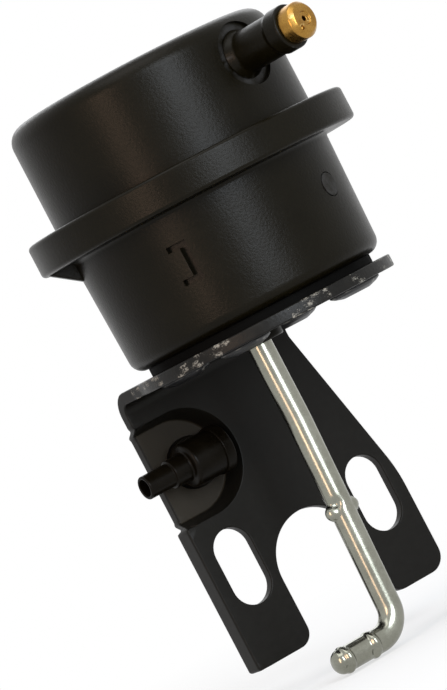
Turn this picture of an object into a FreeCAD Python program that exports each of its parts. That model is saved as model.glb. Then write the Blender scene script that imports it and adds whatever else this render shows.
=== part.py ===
"""Supercharger bypass valve: a vacuum canister on a slotted bracket, with a bent control rod.

Frame: millimetres, +Z up along the canister's axis, +X to the right when looking at the front
of the bracket, +Y to the rear.  The origin lies on the bracket's rear seat face, midway between
its two slots.  Canister pieces are drawn about the canister's axis, with their zero height on
the upper face of the bracket's disc, and are then placed on the bracket.
"""
import FreeCAD, Part
import math
import os
import re

import Sketcher

doc = FreeCAD.newDocument("bypass_valve")
sheet = doc.addObject("Spreadsheet::Sheet", "Sizes")

# Driving dimensions in millimetres and degrees: name, value, what it is.
SIZES = [
    ("sheet_t", 2.3, "thickness of the bracket's sheet steel"),
    ("disc_r", 25.8, "radius of the bracket's disc under the canister"),
    ("axis_gap", 21.4, "bracket's front face to the canister's axis"),
    ("plate_half", 22.9, "half the width of the upright plate"),
    ("plate_neck", 15.4, "plate's right edge at the fold, from the centre line"),
    ("neck_drop", 37.0, "disc face down to where the right edge reaches full width"),
    ("neck_blend_r", 30.0, "radius that blends the slanted edge into the straight one"),
    ("foot_drop", 57.2, "disc face down to the plate's foot"),
    ("fold_r", 2.0, "inside radius of the fold"),
    ("corner_r", 3.6, "radius of the plate's outer corners"),
    ("toe_r", 3.0, "radius of the corners at the notch's mouth"),
    ("slot_drop", 38.6, "disc face down to the slots' centres"),
    ("slot_pitch", 31.8, "distance between the slots"),
    ("slot_length", 15.2, "length of a slot over its ends"),
    ("slot_width", 8.2, "width of a slot"),
    ("notch_r", 9.7, "radius of the notch between the slots"),
    ("notch_drop", 44.4, "disc face down to the centre of the notch's arc"),
    ("lip_depth", 2.3, "how far the side lip stands behind the seat face"),
    ("lip_start", 27.4, "disc face down to the lip's upper end"),
    ("lip_slope", 1.6, "height over which the lip reaches its depth"),
    ("dish_r", 9.9, "radius of the pressed dish at the front face"),
    ("dish_x", 15.4, "dish's centre, left of the centre line"),
    ("dish_reach", 20.9, "left edge of the dish's floor, left of the centre line"),
    ("dish_drop", 17.45, "disc face down to the dish's centre"),
    ("dish_depth", 5.0, "depth of the dish"),
    ("dish_draft", 7.0, "slope of the dish's side, in degrees"),
    ("stud_circle_r", 18.0, "radius of the circle of canister screws"),
    ("screw_r", 1.9, "radius of a canister screw's thread"),
    ("screw_head_r", 5.0, "radius of a canister screw's head"),
    ("screw_head_rise", 1.3, "height of a canister screw's domed head"),
    ("screw_length", 8.4, "length of a canister screw under its head"),
    ("screw_gap", 0.25, "clearance round a screw in the bracket and the gasket"),
    ("gasket_t", 1.6, "thickness of the gasket under the canister"),
    ("gasket_r", 22.6, "outer radius of the gasket"),
    ("gasket_bore_r", 9.0, "bore radius of the gasket"),
    ("wall", 2.0, "wall of the moulded shells"),
    ("cup_r", 25.9, "outer radius of the lower shell under its rim"),
    ("cup_foot_r", 25.2, "outer radius of the lower shell at its base"),
    ("cup_floor_t", 2.5, "thickness of the lower shell's floor"),
    ("cup_edge_r", 2.4, "radius of the lower shell's bottom edge"),
    ("rim_r", 32.0, "outer radius of the rim"),
    ("rim_low", 24.9, "height of the rim's underside"),
    ("rim_rise", 6.3, "height of the rim"),
    ("rim_wall", 1.8, "wall of the rim round the upper shell's flange"),
    ("rim_floor", 2.5, "thickness of the rim's floor"),
    ("bead_inset", 1.9, "rim's inner face to the middle of the bead groove"),
    ("bead_w", 1.2, "width of the diaphragm's bead"),
    ("bead_rise", 1.0, "height of the diaphragm's bead"),
    ("pry_lug_w", 2.4, "width of the lug under the rim"),
    ("pry_lug_drop", 4.4, "height of the lug under the rim"),
    ("pry_lug_angle", 158.0, "direction of the lug under the rim, in degrees"),
    ("latch_w", 4.2, "width of the latch mark on the lower shell"),
    ("latch_rise", 8.2, "height of the latch mark"),
    ("latch_z", 15.3, "height of the middle of the latch mark"),
    ("latch_line", 1.0, "width of the latch mark's groove"),
    ("latch_depth", 1.2, "depth of the latch mark's groove"),
    ("latch_angle", 223.5, "direction of the latch mark, in degrees"),
    ("gate_mark_r", 2.4, "radius of the round moulding mark"),
    ("gate_mark_z", 16.0, "height of the round moulding mark"),
    ("gate_mark_angle", 299.0, "direction of the round moulding mark, in degrees"),
    ("cap_r", 26.0, "outer radius of the upper shell"),
    ("cap_top", 52.2, "height of the crown of the upper shell"),
    ("cap_crown", 0.9, "how far the upper shell's crown stands above its shoulder"),
    ("cap_edge_r", 3.4, "radius of the upper shell's shoulder"),
    ("cap_roof_t", 2.4, "thickness of the upper shell's roof"),
    ("cap_flange_t", 2.2, "thickness of the upper shell's flange"),
    ("nipple_angle", 19.0, "direction of the vacuum nipple, right of straight ahead"),
    ("nipple_z", 43.6, "height of the vacuum nipple's axis"),
    ("nipple_r", 3.9, "radius of the vacuum nipple"),
    ("nipple_collar_r", 4.2, "radius of the collar at the nipple's end"),
    ("nipple_collar_in", 34.4, "canister's axis to the start of the collar"),
    ("nipple_end", 38.2, "canister's axis to the end of the moulded nipple"),
    ("nipple_bore_r", 2.2, "bore radius of the nipple"),
    ("nipple_well_r", 6.2, "radius of the well round the nipple's root"),
    ("nipple_well_in", 24.9, "canister's axis to the floor of the well"),
    ("jet_r", 3.5, "radius of the brass restrictor's head"),
    ("jet_end", 41.8, "canister's axis to the end of the restrictor"),
    ("jet_shank", 5.0, "length of the restrictor's shank in the nipple"),
    ("jet_hole_r", 0.5, "radius of the restrictor's hole"),
    ("rod_r", 2.38, "radius of the rod"),
    ("rod_x", -2.4, "rod's axis from the canister's axis, across"),
    ("rod_y", 1.2, "rod's axis from the canister's axis, to the rear"),
    ("rod_drop", 61.3, "disc face down to the axis of the rod's foot"),
    ("rod_bend_r", 5.0, "radius of the rod's bend, on its axis"),
    ("rod_foot", 17.1, "guided part of the rod's axis to the foot's tip"),
    ("rod_kink_drop", 18.4, "disc face down to where the rod starts to lean"),
    ("rod_lean", 2.1, "lean of the rod's lower part to the left, in degrees"),
    ("rod_lean_r", 40.0, "radius of the curve into the lean"),
    ("rod_tip_r", 1.9, "rounding of the rod's tip"),
    ("rod_neck_r", 1.9, "radius of the riveted neck of the rod"),
    ("rod_collar_r", 3.6, "radius of the rod's collar under the backing plate"),
    ("rod_collar_t", 1.0, "thickness of the rod's collar"),
    ("rod_head_r", 3.0, "radius of the riveted head"),
    ("rod_head_rise", 1.2, "height of the riveted head"),
    ("ear_drop", 37.2, "disc face down to the ears pressed out of the rod"),
    ("ear_spread", 3.55, "half the span of the ears on the upright rod"),
    ("ear_half", 1.9, "half the height of those ears"),
    ("ear_t", 1.1, "half the thickness of those ears"),
    ("journal_in", 9.6, "guided part of the rod's axis to the journal on the foot"),
    ("journal", 3.9, "length of the journal on the foot"),
    ("stop_t", 2.2, "thickness of the pressed stops beside the journal"),
    ("stop_spread", 3.2, "half the span of the pressed stops"),
    ("spigot_r", 5.0, "outer radius of the spigot round the rod"),
    ("spigot_drop", 3.8, "disc face down to the end of the spigot"),
    ("spigot_top", 7.0, "height of the top of the spigot inside the shell"),
    ("spigot_lip", 1.0, "thickness of the lip over the bush"),
    ("bush_r", 3.9, "radius of the bush's seat"),
    ("bush_length", 7.0, "length of the bush"),
    ("bush_gap", 0.07, "running clearance of the rod in its bush, on the radius"),
    ("wiper_t", 1.7, "thickness of the felt wiper"),
    ("wiper_gap", 0.35, "clearance of the felt wiper round the rod"),
    ("keeper_t", 0.7, "thickness of the ring that keeps the wiper in"),
    ("keeper_bore_r", 3.0, "bore radius of that ring"),
    ("hole_gap", 0.3, "clearance of the spigot in the bracket"),
    ("fit_gap", 0.05, "clearance of fixed round pieces in their seats, on the radius"),
    ("seat_gap", 0.1, "play between clamped flat faces"),
    ("bumper_r", 12.5, "outer radius of the stop bumper"),
    ("bumper_bore_r", 8.5, "bore radius of the stop bumper"),
    ("bumper_rise", 4.0, "height of the stop bumper"),
    ("rest_gap", 0.2, "play between the backing plate and the bumper at rest"),
    ("backing_r", 14.0, "radius of the backing plate"),
    ("backing_t", 1.0, "thickness of the backing plate"),
    ("rubber_t", 0.8, "thickness of the diaphragm"),
    ("piston_r", 19.4, "outer radius of the piston"),
    ("piston_wall", 1.3, "wall of the piston"),
    ("piston_floor_t", 1.6, "thickness of the piston's floor"),
    ("piston_rise", 26.0, "height of the piston"),
    ("roll_gap", 0.35, "clearance of the diaphragm from the piston and from the shell"),
    ("roll_rise", 4.4, "height of the diaphragm's roll above its flange"),
    ("washer_r", 5.4, "radius of the washer under the riveted head"),
    ("washer_t", 1.0, "thickness of that washer"),
    ("spring_r", 15.0, "mean radius of the return spring"),
    ("spring_wire_r", 0.8, "radius of the spring's wire"),
    ("spring_turns", 6.0, "turns of the spring"),
    ("spring_ring_t", 0.8, "thickness of the spring's upper seat ring"),
    ("spring_ring_w", 4.6, "width of the spring's upper seat ring"),
    ("elbow_r", 4.4, "radius of the signal port's body"),
    ("elbow_x", 12.9, "middle of the port's body, left of the centre line"),
    ("elbow_body", 8.8, "length of the port's body"),
    ("elbow_ring_t", 2.2, "width of the ring at the body's closed end"),
    ("elbow_ring_r", 4.75, "radius of that ring"),
    ("port_collar_r", 2.75, "radius of the collar behind the port's tube"),
    ("port_collar", 3.7, "length of that collar"),
    ("port_r", 2.3, "radius of the port's tube"),
    ("port_length", 5.8, "length of the port's tube"),
    ("port_bore_r", 1.75, "bore radius of the port"),
    ("stem_r", 3.0, "radius of the port's stem through the dish"),
    ("stem_tail", 4.6, "length of the stem behind the dish"),
    ("stem_gap", 0.2, "clearance of the stem in the dish"),
    ("port_gasket_t", 0.8, "thickness of the gasket under the port"),
    ("port_gasket_r", 5.0, "radius of the gasket under the port"),
    ("clip_t", 0.8, "thickness of the clip on the stem"),
    ("clip_r", 5.6, "radius of the clip on the stem"),
]
for row, (name, value, meaning) in enumerate(SIZES, start=1):
    sheet.set(f"A{row}", name)
    sheet.set(f"B{row}", str(value))
    sheet.set(f"C{row}", meaning)
    sheet.setAlias(f"B{row}", name)
doc.recompute()
KNOWN = {name for name, _, _ in SIZES}

# Heights and places that follow from the sizes, as formulas in those names.
SHELL_BASE = "gasket_t"
CUP_FLOOR = "(gasket_t + cup_floor_t)"
RIM_LEDGE = "(rim_low + rim_floor)"
RIM_TOP = "(rim_low + rim_rise)"
FLANGE_LOW = "(rim_low + rim_floor + rubber_t + 2 * seat_gap)"
CAP_INSIDE = "(cap_top - cap_crown - cap_roof_t)"
BACKING_LOW = "(gasket_t + cup_floor_t + bumper_rise + rest_gap)"
SHEET_LOW = f"({BACKING_LOW} + backing_t + seat_gap)"
PISTON_LOW = f"({SHEET_LOW} + rubber_t + seat_gap)"
PISTON_FLOOR = f"({PISTON_LOW} + piston_floor_t)"
WASHER_LOW = f"({PISTON_FLOOR} + seat_gap)"
BUSH_LOW = "(spigot_top - spigot_lip - bush_length)"
BEAD_R = "(rim_r - rim_wall - bead_inset)"
ROLL_IN = "(piston_r + roll_gap)"
ROLL_OUT = "(cap_r - wall - roll_gap)"
CAN_Y = "-(sheet_t + axis_gap)"
DISH_FLOOR_Y = "(dish_depth - sheet_t)"
ELBOW_Y = f"({DISH_FLOOR_Y} - port_gasket_t - elbow_ring_r)"
ELBOW_OPEN_X = "(elbow_x + elbow_body / 2)"


def formula(text):
    """The text with each size's name pointed at its cell."""
    return re.sub(r"[a-z_]+", lambda word: f"Sizes.{word.group()}" if word.group() in KNOWN else word.group(),
                  str(text))


def size(text):
    """The number that a formula in the sizes gives, in millimetres or degrees."""
    found = sheet.evalExpression(formula(text))
    return float(getattr(found, "Value", found))


def bind(thing, **formulas):
    """Bind an object's properties to formulas in the sizes. A dot in a name is written as two underscores."""
    for name, text in formulas.items():
        thing.setExpression(name.replace("__", "."), formula(text))


def place(thing, across="0", back="0", up="0", axis=None, angle=None):
    """Place an object by formulas, turned about one axis by a formula in degrees."""
    if axis is not None:
        thing.Placement = FreeCAD.Placement(FreeCAD.Vector(), FreeCAD.Rotation(FreeCAD.Vector(*axis), size(angle)))
        bind(thing, Placement__Rotation__Angle=angle)
    bind(thing, Placement__Base__x=across, Placement__Base__y=back, Placement__Base__z=up)


def place_on_bracket(thing, across="0", back="0", up="0", axis=None, angle=None):
    """Place a piece that is drawn about the canister's axis."""
    place(thing, across, f"{CAN_Y} + {back}", f"slot_drop + {up}", axis, angle)


def new_body(name):
    """An empty body with a plain label."""
    body = doc.addObject("PartDesign::Body", name)
    body.Label = name
    return body


def sketch_on(body, role, name, lift="0"):
    """A sketch on one of the body's own planes, lifted along the plane's normal."""
    sketch = body.newObject("Sketcher::SketchObject", name)
    plane = next(item for item in body.Origin.OriginFeatures if item.Role == role)
    sketch.AttachmentSupport = [(plane, "")]
    sketch.MapMode = "FlatFace"
    bind(sketch, AttachmentOffset__Base__z=lift)
    return sketch


def hold_point(sketch, geometry, point, across, up):
    """Fix a point of the sketch by two bound distances from the sketch's origin."""
    for kind, text in (("DistanceX", across), ("DistanceY", up)):
        index = sketch.addConstraint(Sketcher.Constraint(kind, -1, 1, geometry, point, size(text)))
        sketch.setExpression(f"Constraints[{index}]", formula(text))


def hold_radius(sketch, geometry, text):
    """Fix the radius of a circle or an arc by a bound value."""
    index = sketch.addConstraint(Sketcher.Constraint("Radius", geometry, size(text)))
    sketch.setExpression(f"Constraints[{index}]", formula(text))


def draw_polygon(sketch, corners):
    """A closed outline through corners, each given by two formulas."""
    spots = [FreeCAD.Vector(size(across), size(up), 0) for across, up in corners]
    lines = [sketch.addGeometry(Part.LineSegment(spot, spots[(at + 1) % len(spots)]), False)
             for at, spot in enumerate(spots)]
    for at, line in enumerate(lines):
        sketch.addConstraint(Sketcher.Constraint("Coincident", line, 2, lines[(at + 1) % len(lines)], 1))
        hold_point(sketch, line, 1, *corners[at])


def draw_circle(sketch, across, up, radius):
    """A circle fixed by its centre and its radius."""
    centre = FreeCAD.Vector(size(across), size(up), 0)
    circle = sketch.addGeometry(Part.Circle(centre, FreeCAD.Vector(0, 0, 1), size(radius)), False)
    hold_point(sketch, circle, 3, across, up)
    hold_radius(sketch, circle, radius)


def draw_slot(sketch, first, last, radius):
    """A slot between two end centres on one upright or level line, first the lower or left one."""
    centres = [FreeCAD.Vector(size(across), size(up), 0) for across, up in (first, last)]
    along = (centres[1] - centres[0]).normalize()
    side = FreeCAD.Vector(-along.y, along.x, 0) * size(radius)
    turn = math.atan2(side.y, side.x)
    normal = FreeCAD.Vector(0, 0, 1)
    low = sketch.addGeometry(Part.ArcOfCircle(Part.Circle(centres[0], normal, size(radius)), turn,
                                              turn + math.pi), False)
    right = sketch.addGeometry(Part.LineSegment(centres[0] - side, centres[1] - side), False)
    high = sketch.addGeometry(Part.ArcOfCircle(Part.Circle(centres[1], normal, size(radius)), turn - math.pi,
                                               turn), False)
    left = sketch.addGeometry(Part.LineSegment(centres[1] + side, centres[0] + side), False)
    for one, end, other, start in ((low, 2, right, 1), (right, 2, high, 1), (high, 2, left, 1), (left, 2, low, 1)):
        sketch.addConstraint(Sketcher.Constraint("Tangent", one, end, other, start))
    hold_point(sketch, low, 3, *first)
    hold_point(sketch, high, 3, *last)
    hold_radius(sketch, low, radius)


def pad(body, sketch, length, backwards=False, cut=False, both=False, draft=None):
    """Pad or pocket a sketch by a bound length."""
    feature = body.newObject("PartDesign::Pocket" if cut else "PartDesign::Pad", f"{sketch.Name}_{'cut' if cut else 'pad'}")
    feature.Profile = sketch
    feature.Reversed = backwards
    feature.Midplane = both
    bind(feature, Length=length)
    if draft is not None:
        bind(feature, TaperAngle=draft)
    return feature


def turn_profile(body, corners, role="XZ_Plane", axis="V_Axis", cut=False):
    """Revolve, or cut by revolving, a closed outline about an axis of its sketch."""
    sketch = sketch_on(body, role, f"{body.Name}_{'groove' if cut else 'profile'}")
    draw_polygon(sketch, corners)
    feature = body.newObject("PartDesign::Groove" if cut else "PartDesign::Revolution", f"{sketch.Name}_turn")
    feature.Profile = sketch
    feature.ReferenceAxis = (sketch, [axis])
    feature.Angle = 360
    return feature


def edges_where(shape, test):
    """Names of the edges whose middle point and curve pass a test."""
    names = []
    for number, edge in enumerate(shape.Edges, start=1):
        if edge.Length < 1e-6:
            continue
        middle = edge.valueAt((edge.FirstParameter + edge.LastParameter) / 2)
        if test(edge, middle):
            names.append(f"Edge{number}")
    return names


def round_edges(body, test, radius, name):
    """Fillet the edges that pass a test."""
    doc.recompute()
    base = body.Tip
    names = edges_where(base.Shape, test)
    if not names:
        raise RuntimeError(f"no edge found for {name}")
    fillet = body.newObject("PartDesign::Fillet", name)
    fillet.Base = (base, names)
    bind(fillet, Radius=radius)
    return fillet


def ring_at(radius, height):
    """A test for a full or part circle about the local Z axis, of this radius and height."""
    def test(edge, middle):
        curve = edge.Curve
        return (isinstance(curve, Part.Circle) and abs(curve.Radius - size(radius)) < 0.01
                and abs(curve.Center.z - size(height)) < 0.01 and math.hypot(curve.Center.x, curve.Center.y) < 0.01)
    return test


def across_at(spots):
    """A test for straight edges along Y at given places in X and Z."""
    def test(edge, middle):
        along = edge.tangentAt(edge.FirstParameter)
        return (isinstance(edge.Curve, Part.Line) and abs(along.y) > 0.999
                and any(math.hypot(middle.x - size(x), middle.z - size(z)) < 0.02 for x, z in spots))
    return test


def combine(kind, name, base, tool):
    """Cut, fuse or intersect two objects."""
    joined = doc.addObject(f"Part::{kind}", name)
    joined.Base = base
    joined.Tool = tool
    joined.Label = name
    return joined


def make_ring(name, inner, outer, low, thickness, across="0", back="0"):
    """A flat ring about the canister's axis or the rod's axis."""
    body = new_body(name)
    sketch = sketch_on(body, "XY_Plane", f"{name}_ring")
    draw_circle(sketch, "0", "0", outer)
    draw_circle(sketch, "0", "0", inner)
    pad(body, sketch, thickness)
    place_on_bracket(body, across, back, low)
    return body


SCREW_PLACES = [(math.copysign(1, across), math.copysign(1, back)) for across in (-1, 1) for back in (-1, 1)]
SCREW_OFFSET = f"stud_circle_r * {math.sqrt(0.5):.6f}"


def draw_screw_holes(sketch, radius):
    """Four circles at the places of the canister screws."""
    for across, back in SCREW_PLACES:
        draw_circle(sketch, f"{across:.0f} * {SCREW_OFFSET}", f"{back:.0f} * {SCREW_OFFSET}", radius)


def make_bracket():
    """The folded sheet-steel bracket: a disc under the canister and a slotted plate behind the rod."""
    body = new_body("bracket")
    top = "slot_drop"
    foot = f"{top} - foot_drop"
    front = f"{CAN_Y} - disc_r - sheet_t"
    fold = sketch_on(body, "YZ_Plane", "bracket_fold")
    draw_polygon(fold, [("0", foot), ("0", top), (front, top), (front, f"{top} - sheet_t"),
                        ("-sheet_t", f"{top} - sheet_t"), ("-sheet_t", foot)])
    pad(body, fold, "2 * plate_half", both=True)
    round_edges(body, fold_edge("0", top), "fold_r + sheet_t", "bracket_outer_fold")
    round_edges(body, fold_edge("-sheet_t", f"{top} - sheet_t"), "fold_r", "bracket_inner_fold")
    outline = sketch_on(body, "XY_Plane", "bracket_disc_outline", lift=top)
    draw_disc_outline(outline)
    pad(body, outline, "sheet_t + fold_r", cut=True)
    edge = sketch_on(body, "XZ_Plane", "bracket_right_edge", lift="sheet_t")
    draw_polygon(edge, [("plate_half", f"{top} - neck_drop"), ("2 * plate_half", f"{top} - neck_drop"),
                        ("2 * plate_half", f"{top} + sheet_t"), ("plate_neck", f"{top} + sheet_t"),
                        ("plate_neck", f"{top} - sheet_t - fold_r - corner_r / 4")])
    pad(body, edge, "2 * sheet_t", cut=True)

    lip = sketch_on(body, "YZ_Plane", "bracket_lip", lift="-plate_half")
    draw_polygon(lip, [("0", f"{top} - lip_start"), ("0", foot), ("lip_depth", foot),
                       ("lip_depth", f"{top} - lip_start - lip_slope")])
    pad(body, lip, "sheet_t")
    dish_z = f"{top} - dish_drop"
    far = "-plate_half - 2 * dish_r"
    dish_back = sketch_on(body, "XZ_Plane", "bracket_dish_back")
    draw_slot(dish_back, (far, dish_z), ("-dish_x", dish_z), "dish_r + sheet_t * 0.7")
    pad(body, dish_back, "dish_depth", backwards=True)
    trim = sketch_on(body, "XZ_Plane", "bracket_dish_trim", lift="-dish_depth - sheet_t")
    draw_polygon(trim, [("-plate_half", foot), ("-plate_half", top), (f"{far} - 2 * dish_r", top),
                        (f"{far} - 2 * dish_r", foot)])
    pad(body, trim, "2 * dish_depth + 3 * sheet_t", backwards=True, cut=True)
    floor_edge = sketch_on(body, "XZ_Plane", "bracket_dish_floor_edge")
    draw_polygon(floor_edge, [("-dish_reach", f"{top} - lip_start"), ("-dish_reach", f"{dish_z} + dish_r + sheet_t"),
                              ("-2 * plate_half", f"{dish_z} + dish_r + sheet_t"),
                              ("-2 * plate_half", f"{top} - lip_start")])
    pad(body, floor_edge, "dish_depth + sheet_t", cut=True)
    dish = sketch_on(body, "XZ_Plane", "bracket_dish", lift="sheet_t")
    draw_slot(dish, (far, dish_z), ("-dish_x", dish_z), "dish_r")
    pad(body, dish, "dish_depth", cut=True, draft="-dish_draft")

    openings = sketch_on(body, "XZ_Plane", "bracket_openings", lift="sheet_t")
    reach = "slot_length / 2 - slot_width / 2"
    for side in (-1, 1):
        draw_slot(openings, (f"{side} * slot_pitch / 2", f"-({reach})"), (f"{side} * slot_pitch / 2", reach),
                  "slot_width / 2")
    notch_z = f"{top} - notch_drop"
    draw_slot(openings, ("0", f"{foot} - 2 * notch_r"), ("0", notch_z), "notch_r")
    pad(body, openings, "sheet_t + lip_depth", cut=True)
    stem_hole = sketch_on(body, "XZ_Plane", "bracket_stem_hole", lift="sheet_t")
    draw_circle(stem_hole, "-elbow_x", dish_z, "stem_r + stem_gap")
    pad(body, stem_hole, "dish_depth + 2 * sheet_t", cut=True)

    holes = sketch_on(body, "XY_Plane", "bracket_holes", lift=top)
    draw_circle(holes, "rod_x", f"{CAN_Y} + rod_y", "spigot_r + hole_gap")
    for across, back in SCREW_PLACES:
        draw_circle(holes, f"{across:.0f} * {SCREW_OFFSET}", f"{CAN_Y} + {back:.0f} * {SCREW_OFFSET}",
                    "screw_r + screw_gap")
    pad(body, holes, "2 * sheet_t", cut=True)
    round_edges(body, across_at([("plate_half", foot)]), "corner_r", "bracket_corner")
    round_edges(body, across_at([("-notch_r", foot), ("notch_r", foot)]), "toe_r", "bracket_toes")
    round_edges(body, across_at([("plate_half", f"{top} - neck_drop")]), "neck_blend_r", "bracket_neck")
    return body


def draw_disc_outline(sketch):
    """The waste round the disc: everything outside its arc and outside the web behind it."""
    centre_y, reach = size(CAN_Y), size("disc_r")
    neck, half, far = size("plate_neck"), size("plate_half"), size("3 * disc_r")
    start = math.atan2(math.sqrt(reach ** 2 - half ** 2), -half)
    stop = math.atan2(math.sqrt(reach ** 2 - neck ** 2), neck)
    circle = Part.Circle(FreeCAD.Vector(0, centre_y, 0), FreeCAD.Vector(0, 0, 1), reach)
    arc = sketch.addGeometry(Part.ArcOfCircle(circle, start, stop + 2 * math.pi), False)
    spots = [(neck, centre_y + math.sqrt(reach ** 2 - neck ** 2)), (neck, -size("sheet_t")),
             (far, -size("sheet_t")), (far, -far), (-far, -far),
             (-far, centre_y + math.sqrt(reach ** 2 - half ** 2)),
             (-half, centre_y + math.sqrt(reach ** 2 - half ** 2))]
    points = [FreeCAD.Vector(across, back, 0) for across, back in spots]
    lines = [sketch.addGeometry(Part.LineSegment(points[at], points[at + 1]), False) for at in range(6)]
    for at in range(5):
        sketch.addConstraint(Sketcher.Constraint("Coincident", lines[at], 2, lines[at + 1], 1))
    sketch.addConstraint(Sketcher.Constraint("Coincident", arc, 2, lines[0], 1))
    sketch.addConstraint(Sketcher.Constraint("Coincident", lines[5], 2, arc, 1))
    sketch.addConstraint(Sketcher.Constraint("Vertical", lines[0]))
    sketch.addConstraint(Sketcher.Constraint("Horizontal", lines[5]))
    hold_point(sketch, arc, 3, "0", CAN_Y)
    hold_radius(sketch, arc, "disc_r")
    hold_point(sketch, lines[0], 2, "plate_neck", "-sheet_t")
    hold_point(sketch, lines[1], 2, "3 * disc_r", "-sheet_t")
    hold_point(sketch, lines[2], 2, "3 * disc_r", "-3 * disc_r")
    hold_point(sketch, lines[3], 2, "-3 * disc_r", "-3 * disc_r")
    for line, text in ((lines[4], "-3 * disc_r"), (lines[5], "-plate_half")):
        index = sketch.addConstraint(Sketcher.Constraint("DistanceX", -1, 1, line, 2, size(text)))
        sketch.setExpression(f"Constraints[{index}]", formula(text))


def fold_edge(back, up):
    """A test for the long edge of the fold."""
    def test(edge, middle):
        along = edge.tangentAt(edge.FirstParameter)
        return (abs(along.x) > 0.999 and abs(middle.y - size(back)) < 0.01 and abs(middle.z - size(up)) < 0.01)
    return test


def make_lower_shell():
    """The moulded cup under the rim, with the rod's spigot, screw bosses and the rim's groove."""
    body = new_body("lower_shell_cup")
    groove_in = f"{BEAD_R} - bead_w / 2 - seat_gap"
    groove_out = f"{BEAD_R} + bead_w / 2 + seat_gap"
    groove_low = f"{RIM_LEDGE} - bead_rise"
    turn_profile(body, [
        ("0", SHELL_BASE), ("cup_foot_r", SHELL_BASE), ("cup_r", "rim_low"), ("rim_r", "rim_low"),
        ("rim_r", RIM_TOP), ("rim_r - rim_wall", RIM_TOP), ("rim_r - rim_wall", RIM_LEDGE),
        (groove_out, RIM_LEDGE), (groove_out, groove_low), (groove_in, groove_low), (groove_in, RIM_LEDGE),
        ("cup_r - wall", RIM_LEDGE), ("cup_r - wall", "rim_low"), ("cup_foot_r - wall", CUP_FLOOR),
        ("0", CUP_FLOOR)])
    spigot = sketch_on(body, "XY_Plane", "lower_shell_spigot", lift="-spigot_drop")
    draw_circle(spigot, "rod_x", "rod_y", "spigot_r")
    pad(body, spigot, "spigot_drop + spigot_top")
    bosses = sketch_on(body, "XY_Plane", "lower_shell_bosses", lift=SHELL_BASE)
    draw_screw_holes(bosses, "screw_r + wall * 0.8")
    pad(body, bosses, f"cup_floor_t + bumper_rise - seat_gap")
    pilots = sketch_on(body, "XY_Plane", "lower_shell_pilots", lift=SHELL_BASE)
    draw_screw_holes(pilots, "screw_r")
    pad(body, pilots, "screw_length - sheet_t - gasket_t + seat_gap", backwards=True, cut=True)
    seat = sketch_on(body, "XY_Plane", "lower_shell_seat", lift="-spigot_drop")
    draw_circle(seat, "rod_x", "rod_y", "bush_r")
    pad(body, seat, "spigot_drop + spigot_top - spigot_lip", backwards=True, cut=True)
    passage = sketch_on(body, "XY_Plane", "lower_shell_passage", lift="-spigot_drop")
    draw_circle(passage, "rod_x", "rod_y", "rod_r + wiper_gap")
    pad(body, passage, "spigot_drop + spigot_top + wall", backwards=True, cut=True)
    round_edges(body, ring_at("cup_foot_r", SHELL_BASE), "cup_edge_r", "lower_shell_foot")
    round_edges(body, ring_at("cup_r", "rim_low"), "wall / 2", "lower_shell_root")
    round_edges(body, ring_at("rim_r", "rim_low"), "wall / 4", "lower_shell_rim_low")
    round_edges(body, ring_at("rim_r", RIM_TOP), "wall / 4", "lower_shell_rim_top")

    lug = new_body("lower_shell_lug")
    side = sketch_on(lug, "XZ_Plane", "lower_shell_lug_side")
    draw_polygon(side, [("cup_r - wall / 2", "rim_low + rim_floor / 2"), ("rim_r - wall / 2", "rim_low + rim_floor / 2"),
                        ("rim_r - wall / 2", "rim_low"), ("cup_r - wall / 2", "rim_low - pry_lug_drop")])
    pad(lug, side, "pry_lug_w", both=True)
    place(lug, axis=(0, 0, 1), angle="pry_lug_angle")
    latch = new_body("lower_shell_latch")
    outline = sketch_on(latch, "YZ_Plane", "lower_shell_latch_outline", lift="cup_r - latch_depth")
    inner = "latch_rise / 2 - latch_line"
    draw_polygon(outline, [("-latch_w / 2", "-latch_rise / 2"), ("latch_w / 2", "-latch_rise / 2"),
                           ("latch_w / 2", "latch_rise / 2"), ("-latch_w / 2", "latch_rise / 2"),
                           ("-latch_w / 2", inner), ("latch_w / 2 - latch_line", inner),
                           ("latch_w / 2 - latch_line", f"-({inner})"), ("-latch_w / 2", f"-({inner})")])
    pad(latch, outline, "2 * latch_depth")
    place(latch, up="latch_z", axis=(0, 0, 1), angle="latch_angle")
    mark = new_body("lower_shell_gate_mark")
    circle = sketch_on(mark, "YZ_Plane", "lower_shell_gate_circle", lift="cup_r - latch_depth / 2")
    draw_circle(circle, "0", "0", "gate_mark_r")
    pad(mark, circle, "latch_depth")
    place(mark, up="gate_mark_z", axis=(0, 0, 1), angle="gate_mark_angle")
    with_lug = combine("Fuse", "lower_shell_with_lug", body, lug)
    with_latch = combine("Cut", "lower_shell_with_latch", with_lug, latch)
    shell = combine("Cut", "lower_shell", with_latch, mark)
    place_on_bracket(shell)
    return shell


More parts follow.
